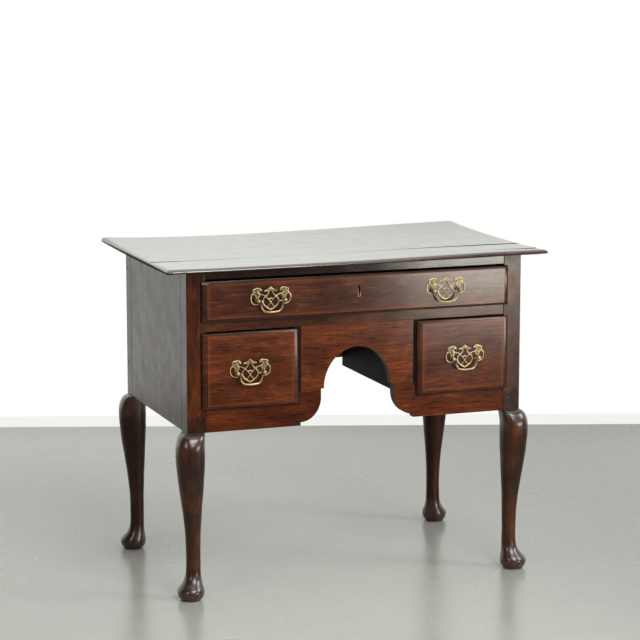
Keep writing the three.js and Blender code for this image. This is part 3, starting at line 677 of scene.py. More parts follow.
BOARDS = {
    "side_panel": ("Y", {
        "middle": (0.05, 0.019, 0.0065), "light": (0.11, 0.044, 0.013),
        "rough": 0.3, "swing": 0.09, "bump": 0.3, "inner_shade": 0.0,
    }),
    "back_board": ("X", {}),
    # Darker and browner than the other rails, partly painted shade under the top's overhang
    "top_rail": ("X", {"middle": (0.034, 0.015, 0.0085), "light": (0.075, 0.03, 0.015)}),
    "mid_rail": ("X", {"middle": (0.062, 0.018, 0.007), "light": (0.125, 0.036, 0.012)}),
    "bottom_rail": ("X", {}),
    "apron_board": ("X", {"middle": (0.115, 0.025, 0.0068), "light": (0.25, 0.06, 0.016)}),
    # Painted shade: the partitions seen through the kneehole are near black, the shade in that
    # recess
    "partition": ("Y", {
        "dark": (0.003, 0.002, 0.0016), "middle": (0.007, 0.0045, 0.0033),
        "light": (0.013, 0.008, 0.005), "rough": 0.6, "gloss": 0.1, "inner_shade": 0.0,
    }),
}
SHOWN_WEAR = 0.6
INNER_BOARDS = ("long_runner", "side_runner", "inner_runner", "kicker")


class LOWBOY_OT_case(bpy.types.Operator):
    """Finish the rails, apron, panels and back boards with worn arrises"""

    bl_idname = "lowboy.case"
    bl_label = "Case boards"

    def execute(self, context):
        wear = context.scene.lowboy_sizes.edge_wear
        for number, node in enumerate(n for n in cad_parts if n.startswith(tuple(BOARDS))):
            along, own_look = next(BOARDS[start] for start in BOARDS if node.startswith(start))
            bm = copy_of(node)
            soften(bm, wear * SHOWN_WEAR if "rail" in node or "apron" in node else wear, 40)
            if node.startswith("back_board"):
                material, slot = dry_wood("Back board wood", "X"), "secondary_wood"
            else:
                shift = (0.21 * number, 0.13 * number, 0.07 * number)
                look = {"rough": 0.125, "swing": 0.03, "gloss": 0.5, "inner_shade": 0.85}
                look.update(own_look, shift=shift, rims=drawer_shadow_lines())
                material, slot = wood(f"Waxed wood {node}", along, **look), "dark_wood"
            finish(f"worn_{node}", bm, "carcase", material, slot, [node], 34)
        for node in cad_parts:
            if node.startswith(INNER_BOARDS):
                paint_node(node, dry_wood("Runner wood", "Y"))
        return {"FINISHED"}


# Top. EDGE is the moulding in millimetres from the top's border: inset and drop.

EDGE = (
    (11.0, 0.0), (8.0, 0.55), (5.4, 1.4), (3.3, 2.8), (1.6, 4.7), (0.5, 7.0), (0.0, 9.2),
    (0.3, 10.9), (1.2, 12.1), (2.3, 12.8), (3.4, 13.0), (16.0, 13.0),
)
EDGE_WIDTH = EDGE[0][0] * MM
EDGE_DROP = EDGE[-1][1]
BACK_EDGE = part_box("top_board_back")[1].y
SEAM = TOP_HIGH.y + 0.036
SPLIT = FRONT + 0.005
SPLIT_START = 0.264
SPLIT_HALF = 0.0003
TOP_LINES = (
    TOP_LOW.y + EDGE_WIDTH, -0.24, SPLIT - SPLIT_HALF, SPLIT + SPLIT_HALF, -0.2, -0.18,
    -0.15, SEAM, -0.1, -0.06, -0.02, 0.03, 0.08, 0.13, 0.18, 0.22, BACK_EDGE - EDGE_WIDTH,
)
TOP_SPANS = 36
NEAR = 0.000001


def sag(x, y):
    """How far the old top has sunk between its corners."""
    across = share_of(x, TOP_LOW.x, TOP_HIGH.x)
    depth = share_of(y, TOP_LOW.y, BACK_EDGE)
    back = 0.0085 * math.sin(math.pi * across**0.65) ** 1.2
    front = 0.0046 * (0.75 + 0.25 * ease(across, 0.0, 0.15)) * (1 - ease(across, 0.42, 1.0))
    middle = 0.0015 + 0.0057 * across**3 + 0.0034 * (1 - across) ** 3
    return between(front, back, depth) + middle * math.sin(math.pi * depth) ** 0.7


class LOWBOY_OT_top(bpy.types.Operator):
    """Build the two moulded boards of the sunken top, with the split near the right end"""

    bl_idname = "lowboy.top"
    bl_label = "Top boards"

    def execute(self, context):
        whole = self.slab()
        for number, node in enumerate(("top_board_front", "top_board_back")):
            bm = whole.copy()
            cut_away(bm, (0, SEAM, 0), (0, -1 if number else 1, 0))
            if node == "top_board_front":
                self.steps(bm)
            bmesh.ops.recalc_face_normals(bm, faces=bm.faces)
            material = wood(
                f"Waxed wood {node}", "X", shift=(0.4 * number, 0.3 * number, 0.0),
                dark=(0.012, 0.006, 0.004), middle=(0.05, 0.02, 0.011), light=(0.1, 0.042, 0.023),
                rough=0.22, swing=0.05, coat=0.95, coat_rough=0.11, gloss=0.7, bump=0.03,
                # under paints shade on the moulding's underside
                under=(TOP_LOW.z + 0.002, TOP_LOW.z - 0.0002, 0.26),
                spots=[((0.0, y, 0.7), (9.0, 0.0013, 9.0), 1.0) for y in (SEAM, SPLIT)],
            )
            finish(f"worn_{node}", bm, "carcase", material, "dark_wood", [node], 24)
        whole.free()
        return {"FINISHED"}

    def slab(self):
        """Grids above and below, joined by the moulded edge."""
        bm = bmesh.new()
        levels = bm.verts.layers.int.new("level")
        rows = len(TOP_LINES) - 1
        last = len(EDGE) - 1
        border = TOP_HIGH.x - EDGE_WIDTH
        grids = []
        for _ in range(2):
            made = bmesh.ops.create_grid(bm, x_segments=TOP_SPANS, y_segments=rows, size=1)
            grids.append(made["verts"])
            for vert in made["verts"]:
                row = round((vert.co.y + 1) / 2 * rows)
                vert.co = Vector((vert.co.x * border, TOP_LINES[row], 0))
        upper = set(grids[0])
        rim = [e for e in bm.edges if e.is_boundary and e.verts[0] in upper]
        for level in range(1, last + 1):
            grown = bmesh.ops.extrude_edge_only(bm, edges=rim)["geom"]
            rim = [e for e in edges_in(grown) if e.is_boundary]
            for vert in verts_in(grown):
                vert[levels] = level
        for vert in grids[1]:
            vert[levels] = last
        ends = (TOP_LINES[0], TOP_LINES[-1])
        corners = {
            v
            for v in bm.verts
            if abs(v.co.x) > border - NEAR and min(abs(v.co.y - e) for e in ends) < NEAR
        }
        for vert in bm.verts:
            vert.co = self.place(vert.co, *EDGE[vert[levels]])
        mitres = [e for e in bm.edges if e.verts[0] in corners and e.verts[1] in corners]
        bevel(bm, mitres, 0.004, 3)
        bmesh.ops.remove_doubles(bm, verts=bm.verts, dist=0.000002)
        bmesh.ops.recalc_face_normals(bm, faces=bm.faces)
        return bm

    def place(self, point, inset, drop):
        """Move a point of the flat grids out to its line of the moulding and let it sink."""
        half = Vector((TOP_HIGH.x, (BACK_EDGE - TOP_LOW.y) / 2))
        middle = (BACK_EDGE + TOP_LOW.y) / 2
        x = point.x * (half.x - inset * MM) / (half.x - EDGE_WIDTH)
        y = middle + (point.y - middle) * (half.y - inset * MM) / (half.y - EDGE_WIDTH)
        if x < 0:
            x *= 1.0035 + 0.0075 * (half.y - y + middle) / (2 * half.y)
        sunk = sag(x, y)
        over = max(ease(y, CASE_BACK, BACK_EDGE), ease(-x, CASE_HALF, half.x))
        base = TOP_LOW.z - 0.4 * sunk * over
        if 0 < drop and inset * MM < EDGE_WIDTH:
            base += 0.0005 + 0.0021 * ease(x / half.x, 0.2, 1.0)
        return Vector((x, y, base + (1 - drop / EDGE_DROP) * (TOP_HIGH.z - sunk - base)))

    def steps(self, bm):
        """Let the narrow board lie lower along the joint and open the split."""
        for vert in bm.verts:
            x, y, z = vert.co
            upper = ease(z, TOP_LOW.z + 0.003, TOP_LOW.z + 0.009)
            share = (x - TOP_LOW.x) / (TOP_HIGH.x - TOP_LOW.x)
            left, right = 1 - ease(share, 0.02, 0.4), 0.8 * ease(share, 0.55, 0.95)
            step = 0.0012 * between(0.2, 1.0, max(left, right)) * ease(y, SEAM - 0.05, SEAM)
            opened = ease(x, SPLIT_START, TOP_HIGH.x) if y < SPLIT else 0.0
            vert.co.z -= upper * (step + 0.0009 * opened)


# Drawers

LININGS = (("side_left", "Y"), ("side_right", "Y"), ("back", "X"), ("bottom", "X"))


def broken_corners(drawer, low, high):
    """Where a drawer front has lost corners: a place on each break and the way it faces."""
    return {
        "long_drawer": (
            ((low.x, -0.2335, high.z - 0.012), (-3.06, -11.1, 7.39)),
            ((high.x - 0.0008, low.y, low.z + 0.004), (1.0, -0.2, -0.5)),
        ),
        "left_drawer": (((low.x + 0.0012, low.y, low.z + 0.004), (-1.0, -0.2, -0.4)),),
        "right_drawer": (((low.x + 0.0016, low.y, low.z + 0.006), (-1.0, -0.2, -0.45)),),
    }[drawer]


class LOWBOY_OT_drawers(bpy.types.Operator):
    """Finish the three moulded drawer fronts and the drawers' dry linings"""

    bl_idname = "lowboy.drawers"
    bl_label = "Drawers"

    def execute(self, context):
        wear = context.scene.lowboy_sizes.moulding_wear
        colours = context.scene.lowboy_colours
        broken = wood(
            "Broken wood", "X", dark=(0.03, 0.022, 0.017), middle=(0.12, 0.098, 0.082),
            light=(0.42, 0.37, 0.33), rough=0.8, gloss=0.1,
        )
        for number, (drawer, (middle, light)) in enumerate(DRAWERS.items()):
            node = f"{drawer}_front"
            low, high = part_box(node)
            bm = copy_of(node)
            for place, facing in broken_corners(drawer, low, high):
                for face in cut_away(bm, place, Vector(facing).normalized()):
                    face.material_index = 1
            soften(bm, wear, 34, keep=lambda e: max(v.co.y for v in e.verts) < FRONT + 0.0005)
            half = (high - low) / 2
            field = ((low + high) / 2, (half.x - 0.0107, 1.0, half.z - 0.0052))
            handles = [at for body, at in handle_places().values() if body == drawer]
            face = FRONT - 0.009
            spots = [((at.x, face, at.z + 0.003), (0.047, 1.0, 0.031), 0.5) for at in handles]
            if drawer == "long_drawer":
                # Painted shade: a dark spot blackens the keyhole's inside and the wood just round
                # it
                spots.append(((0.0, 0.0, high.z - 0.0345), (0.004, 1.0, 0.0135), 0.97))
            worn = (*field, 0.009, colours.wood_worn, 0.36, 1.6, "Inside")
            # Painted shade: the moulded lips outside the field are darkened toward the dirt and
            # shade colour
            shaded_lips = (*field, 0.001, colours.wood_dirt_and_shade, 0.4, 0.0, "Outside")
            material = wood(
                f"Waxed wood {node}", "X", middle=middle, light=light,
                shift=(0.31 * number + 0.1, 0.0, 0.17 * number), rough=0.14, swing=0.03,
                gloss=0.5, lips=field, rims=(worn, shaded_lips), spots=spots,
            )
            front = finish(f"moulded_{node}", bm, drawer, material, "dark_wood", [node], 30)
            front.data.materials.append(broken)
            for part, along in LININGS:
                paint_node(f"{drawer}_{part}", dry_wood(f"Lining wood {part}", along))
        return {"FINISHED"}


# Handles, drawn in millimetres round the middle of the posts. The outlines and lines of a
# plate's right half are shares of its half width.

BORING = 58.5
PLATE_HALF = 44.0
PLATE_BACK = -9.3
PLATE_FRONT = -10.9
CROWN = ((0, 0.423), (0.114, 0.409), (0.205, 0.414), (0.345, 0.443), (0.3, 0.475), (0.209, 0.5))
CROWN_EDGE = ((0.209, 0.5), (0.118, 0.55), (0.05, 0.614), (0, 0.66))
PENDANT = ((0, -0.398), (0.114, -0.414), (0.05, -0.468), (0, -0.518))
RING = (
    (0.105, 0.443), (0.111, 0.341), (0.182, 0.25), (0.277, 0.164), (0.359, 0.068),
    (0.391, -0.045), (0.341, -0.205), (0.216, -0.323), (0.091, -0.409), (0, -0.461),
)
TRACERY = (
    (0.591, 0.309), (0.425, 0.277), (0.286, 0.207), (0.186, 0.123), (0.077, 0.002),
    (-0.023, -0.141), (-0.17, -0.307),
)
LOZENGE = ((0.109, 0.036), (0.05, 0.075), (0, 0.1))
LINK = ((0.386, -0.073), (0.48, -0.055), (0.591, -0.045))
LEAF = (
    (0.6, 0.03), (0.575, 0.13), (0.53, 0.22), (0.515, 0.29), (0.55, 0.355), (0.6, 0.4),
    (0.605, 0.45), (0.56, 0.46), (0.505, 0.425), (0.45, 0.455), (0.455, 0.52), (0.525, 0.585),
    (0.63, 0.62), (0.74, 0.595), (0.83, 0.57), (0.915, 0.505), (0.88, 0.44), (0.9, 0.385),
    (0.855, 0.33), (0.81, 0.26), (0.765, 0.16), (0.72, 0.03),
)
SCROLL = (
    (0.78, 0.31), (0.9, 0.315), (0.975, 0.22), (0.985, 0.08), (0.945, -0.06), (0.84, -0.15),
    (0.72, -0.19), (0.61, -0.18),
)
# Each strap's line, its width at both ends and its steps
STRAPS = (
    (RING, 2.4, 3.4, 60),
    (TRACERY, 2.0, 1.9, 40),
    (LOZENGE, 2.1, 2.1, 8),
    (LINK, 2.4, 2.4, 8),
    (SCROLL, 3.4, 2.2, 50),
)
BOSS_RADIUS = 5
CHASING = (
    ((0.665, 0.1), (0.655, 0.28), (0.7, 0.42), (0.66, 0.53), (0.56, 0.53)),
    ((0.7, 0.4), (0.78, 0.48), (0.86, 0.49)),
    ((0.68, 0.3), (0.76, 0.36), (0.83, 0.38)),
    ((0.0, 0.43), (0.0, 0.62)),
    ((0.03, 0.43), (0.1, 0.5), (0.2, 0.47)),
)
DOME_WIDTH = 1.7
CHASING_WIDTH = 0.42
HEAD_Y = -18.8
BAIL_HALF = 23.7
BAIL_DROP = 24.0
PIN_END = 28.3
BAIL_LINE = (
    (1.19, 0), (1.08, 0), (1.02, 0.05), (1, 0.15), (0.99, 0.34), (0.91, 0.66), (0.68, 0.91),
    (0.34, 0.97), (0, 1),
)
BAIL_STEPS, BAIL_POINTS = 120, 18
# Radius and depth of a turned post, from its ball head to the end of its shank
POST_PROFILE = (
    (0.0, -23.0), (0.9, -22.95), (1.25, -22.7), (1.5, -22.62), (2.6, -22.0), (3.5, -21.1),
    (4.05, -19.9), (4.2, -18.8), (4.05, -17.7), (3.5, -16.5), (2.75, -15.7), (2.25, -15.1),
    (2.1, -14.5), (2.3, -13.9), (3.1, -13.4), (3.25, -13.1), (3.1, -12.8), (3.9, -12.55),
    (4.4, -12.1), (4.5, -11.7), (4.45, -11.25), (2.0, -11.2), (2.0, 22.7), (1.7, 23.0),
    (0.0, 23.0),
)
DRAWER_FRONT_BACK = 14
NUT_WIDTH, NUT_THICKNESS = 7.6, 3.2
HANDLES = {
    "long_handle_left": "long_drawer",
    "long_handle_right": "long_drawer",
    "left_handle": "left_drawer",
    "right_handle": "right_drawer",
}


def handle_places():
    """Each handle's drawer and its middle in metres, read from its posts."""
    places = {}
    for name, body in HANDLES.items():
        low, left_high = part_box(f"{name}_post_left")
        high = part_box(f"{name}_post_right")[1]
        middle = Vector(((low.x + high.x) / 2, FRONT, (low.z + left_high.z) / 2))
        places[name] = (body, middle)
    return places


def raise_outline(bm, outline):
    """Raise a flat outline to the plate's thickness and mirror it to the other side."""
    for side in (1, -1):
        face = bm.faces.new([bm.verts.new((side * x, PLATE_BACK, z)) for x, z in outline])
        thicken(bm, [face], (0, PLATE_FRONT - PLATE_BACK, 0))


def real(points):
    return [Vector((x * PLATE_HALF, z * PLATE_HALF)) for x, z in points]


def ribbon(points, start, end, steps):
    """The outline of a strap that follows a smooth line."""
    line = curve_points(real(points), steps)
    left, right = [], []
    for step, middle in enumerate(line):
        ahead = line[min(step + 1, steps)] - line[max(step - 1, 0)]
        width = between(start, end, step / steps)
        across = Vector((-ahead.y, ahead.x)).normalized() * width / 2
        left.append(middle + across)
        right.append(middle - across)
    return [*left, *reversed(right)]


def plate_mesh(grid):
    """The pierced plate: outlines made one, their edges melted and their faces domed."""
    bm = bmesh.new()
    raise_outline(bm, curve_points(real(CROWN), 20) + curve_points(real(CROWN_EDGE), 12)[1:])
    raise_outline(bm, curve_points(real(PENDANT), 10))
    for strap in STRAPS:
        raise_outline(bm, ribbon(*strap))
    raise_outline(bm, curve_points(real(LEAF), 90))
    boss = [
        (BORING / 2 + BOSS_RADIUS * math.cos(a), BOSS_RADIUS * math.sin(a))
        for a in (math.radians(10 * turn) for turn in range(36))
    ]
    raise_outline(bm, boss)
    bmesh.ops.recalc_face_normals(bm, faces=bm.faces)
    holder = linked("plate_slabs", bm)
    remesh = holder.modifiers.new("One casting", "REMESH")
    remesh.mode = "VOXEL"
    remesh.voxel_size = grid
    bpy.context.view_layer.update()
    melted = holder.evaluated_get(bpy.context.evaluated_depsgraph_get()).to_mesh()
    bm = bmesh.new()
    bm.from_mesh(melted)
    rough = holder.data
    bpy.data.objects.remove(holder)
    bpy.data.meshes.remove(rough)
    for _ in range(2):
        bmesh.ops.smooth_vert(
            bm, verts=bm.verts, factor=0.5, use_axis_x=True, use_axis_y=True, use_axis_z=True
        )
    dome(bm)
    return bm


def nearest(points):
    """A function that tells how far a place is from the nearest of the points."""
    tree = kdtree.KDTree(len(points))
    for index, point in enumerate(points):
        tree.insert(point, index)
    tree.balance()
    return lambda place: tree.find(place)[2]


def dome(bm):
    """Round the front face from its edges inwards and cut the chased lines."""
    bm.normal_update()
    to_wall = nearest([(v.co.x, 0, v.co.z) for v in bm.verts if abs(v.normal.y) < 0.55])
    lines = [point for points in CHASING for point in curve_points(real(points), 30)]
    to_line = nearest([(side * point.x, 0, point.y) for point in lines for side in (1, -1)])
    rubbed = bm.verts.layers.float.new("rubbed")
    for vert in bm.verts:
        flat = (vert.co.x, 0, vert.co.z)
        share = min(to_wall(flat) / DOME_WIDTH, 1.0)
        rise = math.sqrt(1 - (1 - share) ** 2)
        cut = math.exp(-((to_line(flat) / CHASING_WIDTH) ** 2))
        front = (PLATE_BACK - vert.co.y) / (PLATE_BACK - PLATE_FRONT)
        if front > 0.5:
            full = between(0.62, 1.0, rise) - 0.28 * cut
            vert.co.y = between(PLATE_BACK, PLATE_FRONT, full * min(front, 1.0))
        # Bright on the rounded shoulders inside each edge, partly rubbed wear and partly a painted
        # highlight; the walls are dark, partly tarnish and partly painted shade outlining each
        # form; chased lines hold tarnish
        shine = (0.3 + 0.7 * min(1.0, share / 0.35)) * (1 - 0.55 * ease(share, 0.55, 1.0))
        vert[rubbed] = max(0.0, shine * (1 - 0.8 * cut)) if front > 0.6 else 0.1


def bail_mesh():
    """A bow, thickest in the middle, with a pin at each end."""
    right = [Vector((x * BAIL_HALF, HEAD_Y, -z * BAIL_DROP)) for x, z in BAIL_LINE]
    right[0].x = PIN_END
    left = [Vector((-p.x, p.y, p.z)) for p in reversed(right[:-1])]
    line = curve_points([*right, *left], BAIL_STEPS)
    rings = []
    for step, middle in enumerate(line):
        ahead = (line[min(step + 1, BAIL_STEPS)] - line[max(step - 1, 0)]).normalized()
        across = ahead.cross(Vector((0, 1, 0))).normalized()
        radius = between(1.35, 2.0, math.sin(math.pi * step / BAIL_STEPS))
        if step in (0, BAIL_STEPS):
            radius *= 0.8
        ring = []
        for turn in range(BAIL_POINTS):
            angle = 2 * math.pi * turn / BAIL_POINTS
            forward = Vector((0, -radius * math.sin(angle), 0))
            ring.append(middle + across * radius * math.cos(angle) + forward)
        rings.append(ring)
    bm = bmesh.new()
    skin(bm, rings)
    rub(bm, lambda place: 0.3 + 0.45 * share_of(-place.z, 0, BAIL_DROP))
    return bm


def post_mesh():
    """Spin the post's profile about the line that runs front to back, and rub its head."""
    bm = bmesh.new()
    verts = [bm.verts.new((radius, depth, 0)) for radius, depth in POST_PROFILE]
    edges = [bm.edges.new(pair) for pair in zip(verts, verts[1:])]
    turn = {"cent": (0, 0, 0), "axis": (0, 1, 0), "angle": 2 * math.pi, "steps": 36}
    bmesh.ops.spin(bm, geom=[*verts, *edges], use_merge=True, **turn)
    bmesh.ops.remove_doubles(bm, verts=bm.verts, dist=0.001)
    bmesh.ops.recalc_face_normals(bm, faces=bm.faces)
    rub(bm, lambda place: 0.95 if place.y < -17.5 else 0.25)
    return bm


def nut_mesh():
    """A hand-filed square nut with its corners taken off, behind the drawer front."""
    bm = bmesh.new()
    bmesh.ops.create_cube(bm, size=1)
    bmesh.ops.scale(bm, verts=bm.verts, vec=(NUT_WIDTH, NUT_THICKNESS, NUT_WIDTH))
    middle = DRAWER_FRONT_BACK + 0.1 + NUT_THICKNESS / 2
    bmesh.ops.translate(bm, verts=bm.verts, vec=(0, middle, 0))
    bevel(bm, [e for e in bm.edges if abs(e.verts[0].co.y - e.verts[1].co.y) > 1], 1.9, 1)
    soften(bm, 0.35, 30)
    return bm


def moved_copy(source, offset):
    """A copy of a mesh that is drawn in millimetres, moved and turned into metres."""
    bm = source.copy()
    bmesh.ops.translate(bm, verts=bm.verts, vec=offset)
    bmesh.ops.scale(bm, verts=bm.verts, vec=(MM, MM, MM))
    return bm


class LOWBOY_OT_handles(bpy.types.Operator):
    """Cast the four pierced plates, turn their posts and hang their bails"""

    bl_idname = "lowboy.handles"
    bl_label = "Handles"

    def execute(self, context):
        plate = plate_mesh(context.scene.lowboy_sizes.plate_grid)
        bail, post, nut = bail_mesh(), post_mesh(), nut_mesh()

        def place(name, mesh, offset, body, nodes, smooth):
            brass = brass_metal()
            finish(name, moved_copy(mesh, offset), body, brass, "aged_brass", nodes, smooth)

        for name, (body, middle) in handle_places().items():
            at = middle / MM
            place(f"cast_{name}_plate", plate, at, body, [f"{name}_plate"], 60)
            place(f"bent_{name}_bail", bail, at, f"{name}_bail", [f"{name}_bail"], 60)
            for label, side in SIDES:
                offset = at + Vector((side * BORING / 2, 0, 0))
                node = f"{name}_post_{label}"
                place(f"turned_{node}", post, offset, body, [node], 38)
                place(f"{name}_nut_{label}", nut, offset, body, (), 30)
        for made in (plate, bail, post, nut):
            made.free()
        return {"FINISHED"}


# Lock and keyhole, in millimetres: the radius of the eye and half the slot's width

KEYHOLE_DROP, KEYHOLE_HEIGHT = 24, 22
LINING_OUTER = (3.95, 2.95)
LINING_INNER = (3.05, 2.05)
LINING_FRONT, LINING_DEPTH = 9.2, 1.2
EYE_STEPS = 24


class LOWBOY_OT_lock(bpy.types.Operator):
    """Line the keyhole with a thin brass thread and give the lock its iron"""

    bl_idname = "lowboy.lock"
    bl_label = "Lock"

    def execute(self, context):
        iron = iron_metal()
        for node in ("lock_case", "lock_bolt"):
            paint_node(node, iron)
        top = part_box("long_drawer_front")[1].z / MM - KEYHOLE_DROP
        bottom = top - KEYHOLE_HEIGHT
        bm = bmesh.new()
        edges = []
        for radius, slot in (LINING_OUTER, LINING_INNER):
            outline = self.outline(top, bottom, radius, slot)
            ring = [bm.verts.new((x, FRONT / MM - LINING_FRONT, z)) for x, z in outline]
            edges += [bm.edges.new(pair) for pair in zip(ring, [*ring[1:], ring[0]])]
        thicken(bm, bmesh.ops.bridge_loops(bm, edges=edges)["faces"], (0, LINING_DEPTH, 0))
        bmesh.ops.recalc_face_normals(bm, faces=bm.faces)
        # Painted highlight: the lining's left side and its bottom are made brighter
        rub(bm, lambda p: (0.3 if p.x < 0.8 else 0.1) + 0.6 * (p.z < bottom + 3))
        bmesh.ops.scale(bm, verts=bm.verts, vec=(MM, MM, MM))
        finish("keyhole_lining", bm, "long_drawer", brass_metal(), "aged_brass", (), 40)
        return {"FINISHED"}

    def outline(self, top, bottom, radius, slot):
        """Round the eye from the slot's right side to its left, then down the slot."""
        eye = top - 2.8
        meet = math.asin(slot / radius)
        points = []
        for step in range(EYE_STEPS + 1):
            angle = -math.pi / 2 + meet + (2 * math.pi - 2 * meet) * step / EYE_STEPS
            points.append((radius * math.cos(angle), eye + radius * math.sin(angle)))
        foot = bottom + 1.8 - slot
        return [*points, (-slot, foot), (slot, foot)]


# Pegs through the tenons

PEG_RADIUS, PEG_LENGTH, PEG_SUNK = 0.0029, 0.0045, 0.0041


class LOWBOY_OT_pegs(bpy.types.Operator):
    """Drive the wooden pegs that hold the rails' tenons in the posts"""

    bl_idname = "lowboy.pegs"
    bl_label = "Pegs"

    def execute(self, context):
        material = wood(
            "Peg wood", "Y", dark=(0.014, 0.006, 0.004), middle=(0.04, 0.017, 0.011),
            light=(0.09, 0.045, 0.03),
        )
        number = 0
        for side in (-1, 1):
            for face, height in (("front", 0.383), ("side", 0.43), ("side", 0.64)):
                number += 1
                bm = bmesh.new()
                bmesh.ops.create_circle(bm, cap_ends=True, segments=14, radius=PEG_RADIUS)
                thicken(bm, list(bm.faces), (0, 0, PEG_LENGTH))
                bmesh.ops.recalc_face_normals(bm, faces=bm.faces)
                soften(bm, 0.0005, 40)
                for vert in bm.verts:
                    x, y, z = vert.co
                    if face == "front":
                        x, y, z = side * 0.3475 + x, FRONT + PEG_SUNK - z, y
                    else:
                        x, y, z = side * (CASE_HALF - PEG_SUNK + z), CASE_BACK - 0.012 + x, y
                    vert.co = (x, y, z + height)
                bmesh.ops.recalc_face_normals(bm, faces=bm.faces)
                finish(f"peg_{number}", bm, "carcase", material, "dark_wood", (), 40)
        return {"FINISHED"}


# Stage, light and camera

CAMERA_PLACE = Vector((-1.77969, -4.85624, 1.41378))
CAMERA_DROP = math.radians(9.6269)
CAMERA_TURN = math.radians(20.1043)
CAMERA_LENS = 134.84
WALL_AWAY = 6.568
WALL_LEAN = 0.216
WALL_HEIGHT = 6
ROOM = 9.0
# Place, aim, size, power and tint of each lamp
LAMPS = {
    "low_glow": ((2.3, -3.45, 0.31), (0.6, -0.25, 0.5), (1.6, 0.56), 36, (1.0, 0.965, 0.86)),
    "right_window": ((2.6, -1.7, 2.2), (0, -0.2, 0.4), (1.0, 1.4), 50, (1, 1, 1)),
    "front_window": ((0.1, -3.9, 1.95), (0, -0.2, 0.4), (0.9, 0.9), 22, (1, 1, 1)),
    "left_window": ((-2.7, -2.3, 1.6), (0, -0.2, 0.4), (0.8, 1.1), 16, (1.0, 0.93, 0.82)),
    "front_sky": ((0.3, -3.5, 3.4), (0, -0.2, 0.4), (2.2, 1.3), 110, (1, 1, 1)),
    "ceiling": ((0.2, -0.2, 4.4), (0, 0, 0), (4.0, 4.0), 75, (1, 1, 1)),
}


def plane_piece(name, corners, material):
    bm = bmesh.new()
    bm.faces.new([bm.verts.new(c) for c in corners])
    piece = linked(name, bm)
    piece.data.materials.append(material)


def area_light(name, place, aim, size, power, tint):
    data = bpy.data.lights.new(name, "AREA")
    data.shape = "RECTANGLE"
    data.size, data.size_y = size
    data.energy = power
    data.color = tint
    lamp = bpy.data.objects.new(name, data)
    lamp.visible_camera = False
    lamp.location = place
    lamp.rotation_euler = (Vector(aim) - Vector(place)).to_track_quat("-Z", "Y").to_euler()
    bpy.context.scene.collection.objects.link(lamp)


def floor_material():
    """A polished grey floor that mirrors nothing but the object and the wall, painted darker to the
    right as shade, and painted dark where mirrors show it ahead of the object.
    """
    made, graph, where = new_material("Polished floor")
    patch = graph.cloud(where, 1.7, 5.0, 0.6)
    grain = graph.cloud(where, 28.0, 4.0, 0.6)
    darker, lighter = (0.355, 0.357, 0.324), (0.405, 0.405, 0.373)
    colour = graph.mix(graph.ramp(patch, 0.3, 0.7), darker, lighter)
    colour = graph.mix(graph.ramp(grain, 0.35, 0.85, 0.0, 0.1), colour, (0.52, 0.51, 0.48))
    # Painted shade: the floor is darker towards the right
    right = graph.ramp(graph.axis(where, "X"), -0.1, 0.9)
    colour = graph.mix(right, colour, (0.545, 0.545, 0.54), "MULTIPLY")
    rough = graph.ramp(patch, 0.3, 0.7, 0.2, 0.3)
    inputs = {"Base Color": colour, "Roughness": rough}
    shader = graph.node("ShaderNodeBsdfPrincipled", inputs)
    # Painted reflection: seen in mirrors, the floor ahead of the object turns dark
    depth = graph.axis(where, "Y")
    ahead = graph.times(graph.ramp(depth, -0.8, -1.2), graph.ramp(depth, -3.6, -2.7))
    mirrored = graph.node("ShaderNodeLightPath").outputs["Is Glossy Ray"]
    dim = graph.node("ShaderNodeBsdfDiffuse", {"Color": (0.05, 0.05, 0.047)})
    graph.end(graph.mix_shaders(graph.times(mirrored, ahead), shader, dim))
    return made


def wall_material():
    """White to the camera and in mirrors, plain paint to other light, clear from behind."""
    made, graph, where = new_material("White wall")
    ray = graph.node("ShaderNodeLightPath").outputs
    seen = graph.maths("MAXIMUM", ray["Is Glossy Ray"], ray["Is Transmission Ray"])
    seen = graph.maths("MAXIMUM", ray["Is Camera Ray"], seen)
    plain = graph.node("ShaderNodeBsdfDiffuse", {"Color": (0.8, 0.8, 0.8)})
    tint = graph.mix(ray["Is Glossy Ray"], (1.0, 1.0, 0.995), (0.975, 1.0, 0.945))
    foot = graph.maths("LESS_THAN", graph.axis(where, "Z"), 0.03)
    tint = graph.mix(foot, tint, (0.89, 0.885, 0.855))
    white = graph.node("ShaderNodeEmission", {"Color": tint, "Strength": 1.0})
    behind = graph.node("ShaderNodeNewGeometry").outputs["Backfacing"]
    clear = graph.node("ShaderNodeBsdfTransparent")
    graph.end(graph.mix_shaders(behind, graph.mix_shaders(seen, plain, white), clear))
    return made


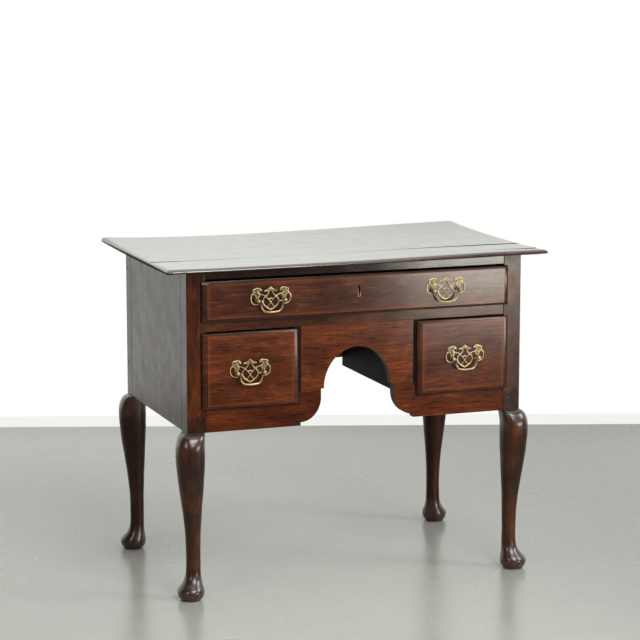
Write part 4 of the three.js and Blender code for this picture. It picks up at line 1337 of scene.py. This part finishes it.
class LOWBOY_OT_stage(bpy.types.Operator):
    """Lay the floor, raise the wall, hang the lamps and place the camera"""

    bl_idname = "lowboy.stage"
    bl_label = "Stage"

    def execute(self, context):
        scene = context.scene
        scene.view_settings.view_transform = "Standard"
        corners = [(x, y, 0) for x, y in ((-1, -1), (1, -1), (1, 1), (-1, 1))]
        plane_piece("floor", [Vector(corner) * ROOM for corner in corners], floor_material())
        ahead = Vector((math.sin(CAMERA_TURN), math.cos(CAMERA_TURN), 0))
        across = Vector((ahead.y, -ahead.x, 0))
        foot = CAMERA_PLACE + ahead * WALL_AWAY
        foot.z = 0
        reach = across * ROOM + ahead * WALL_LEAN
        rise = Vector((0, 0, WALL_HEIGHT))
        left, right = foot - reach, foot + reach
        plane_piece("wall", (left, right, right + rise, left + rise), wall_material())
        for name, lamp in LAMPS.items():
            area_light(name, *lamp)
        world = bpy.data.worlds.new("Room")
        world.use_nodes = True
        sky = world.node_tree.nodes["Background"].inputs
        graph = Graph(world.node_tree)
        seen = graph.node("ShaderNodeLightPath").outputs["Is Camera Ray"]
        graph.feed(sky["Color"], (1, 1, 1))
        graph.feed(sky["Strength"], graph.ramp(seen, 0.0, 1.0, 0.12, 1.0))
        scene.world = world
        data = bpy.data.cameras.new("Camera")
        data.sensor_width = 36
        data.lens = CAMERA_LENS
        data.clip_end = 60
        camera = bpy.data.objects.new("Camera", data)
        camera.location = CAMERA_PLACE
        camera.rotation_euler = (math.pi / 2 - CAMERA_DROP, 0, -CAMERA_TURN)
        scene.collection.objects.link(camera)
        scene.camera = camera
        return {"FINISHED"}


class LOWBOY_PT_panel(bpy.types.Panel):
    """The lowboy's sizes, colours and pieces"""

    bl_idname = "LOWBOY_PT_panel"
    bl_label = "Lowboy"
    bl_space_type = "VIEW_3D"
    bl_region_type = "UI"
    bl_category = "Lowboy"

    def draw(self, context):
        layout = self.layout
        for group in (context.scene.lowboy_sizes, context.scene.lowboy_colours):
            box = layout.box()
            for key in group.__annotations__:
                box.prop(group, key)
        for operator in OPERATORS:
            layout.operator(operator.bl_idname)


OPERATORS = (
    LOWBOY_OT_legs,
    LOWBOY_OT_case,
    LOWBOY_OT_top,
    LOWBOY_OT_drawers,
    LOWBOY_OT_handles,
    LOWBOY_OT_lock,
    LOWBOY_OT_pegs,
    LOWBOY_OT_stage,
)
CLASSES = (LowboySizes, LowboyColours, *OPERATORS, LOWBOY_PT_panel)


def register():
    for item in CLASSES:
        bpy.utils.register_class(item)
    bpy.types.Scene.lowboy_sizes = bpy.props.PointerProperty(type=LowboySizes)
    bpy.types.Scene.lowboy_colours = bpy.props.PointerProperty(type=LowboyColours)


def unregister():
    del bpy.types.Scene.lowboy_colours
    del bpy.types.Scene.lowboy_sizes
    for item in reversed(CLASSES):
        bpy.utils.unregister_class(item)


def main():
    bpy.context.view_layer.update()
    register()
    bpy.ops.lowboy.stage()
    bpy.ops.lowboy.legs()
    bpy.ops.lowboy.case()
    bpy.ops.lowboy.top()
    bpy.ops.lowboy.drawers()
    bpy.ops.lowboy.handles()
    bpy.ops.lowboy.lock()
    bpy.ops.lowboy.pegs()


if __name__ == "__main__":
    main()
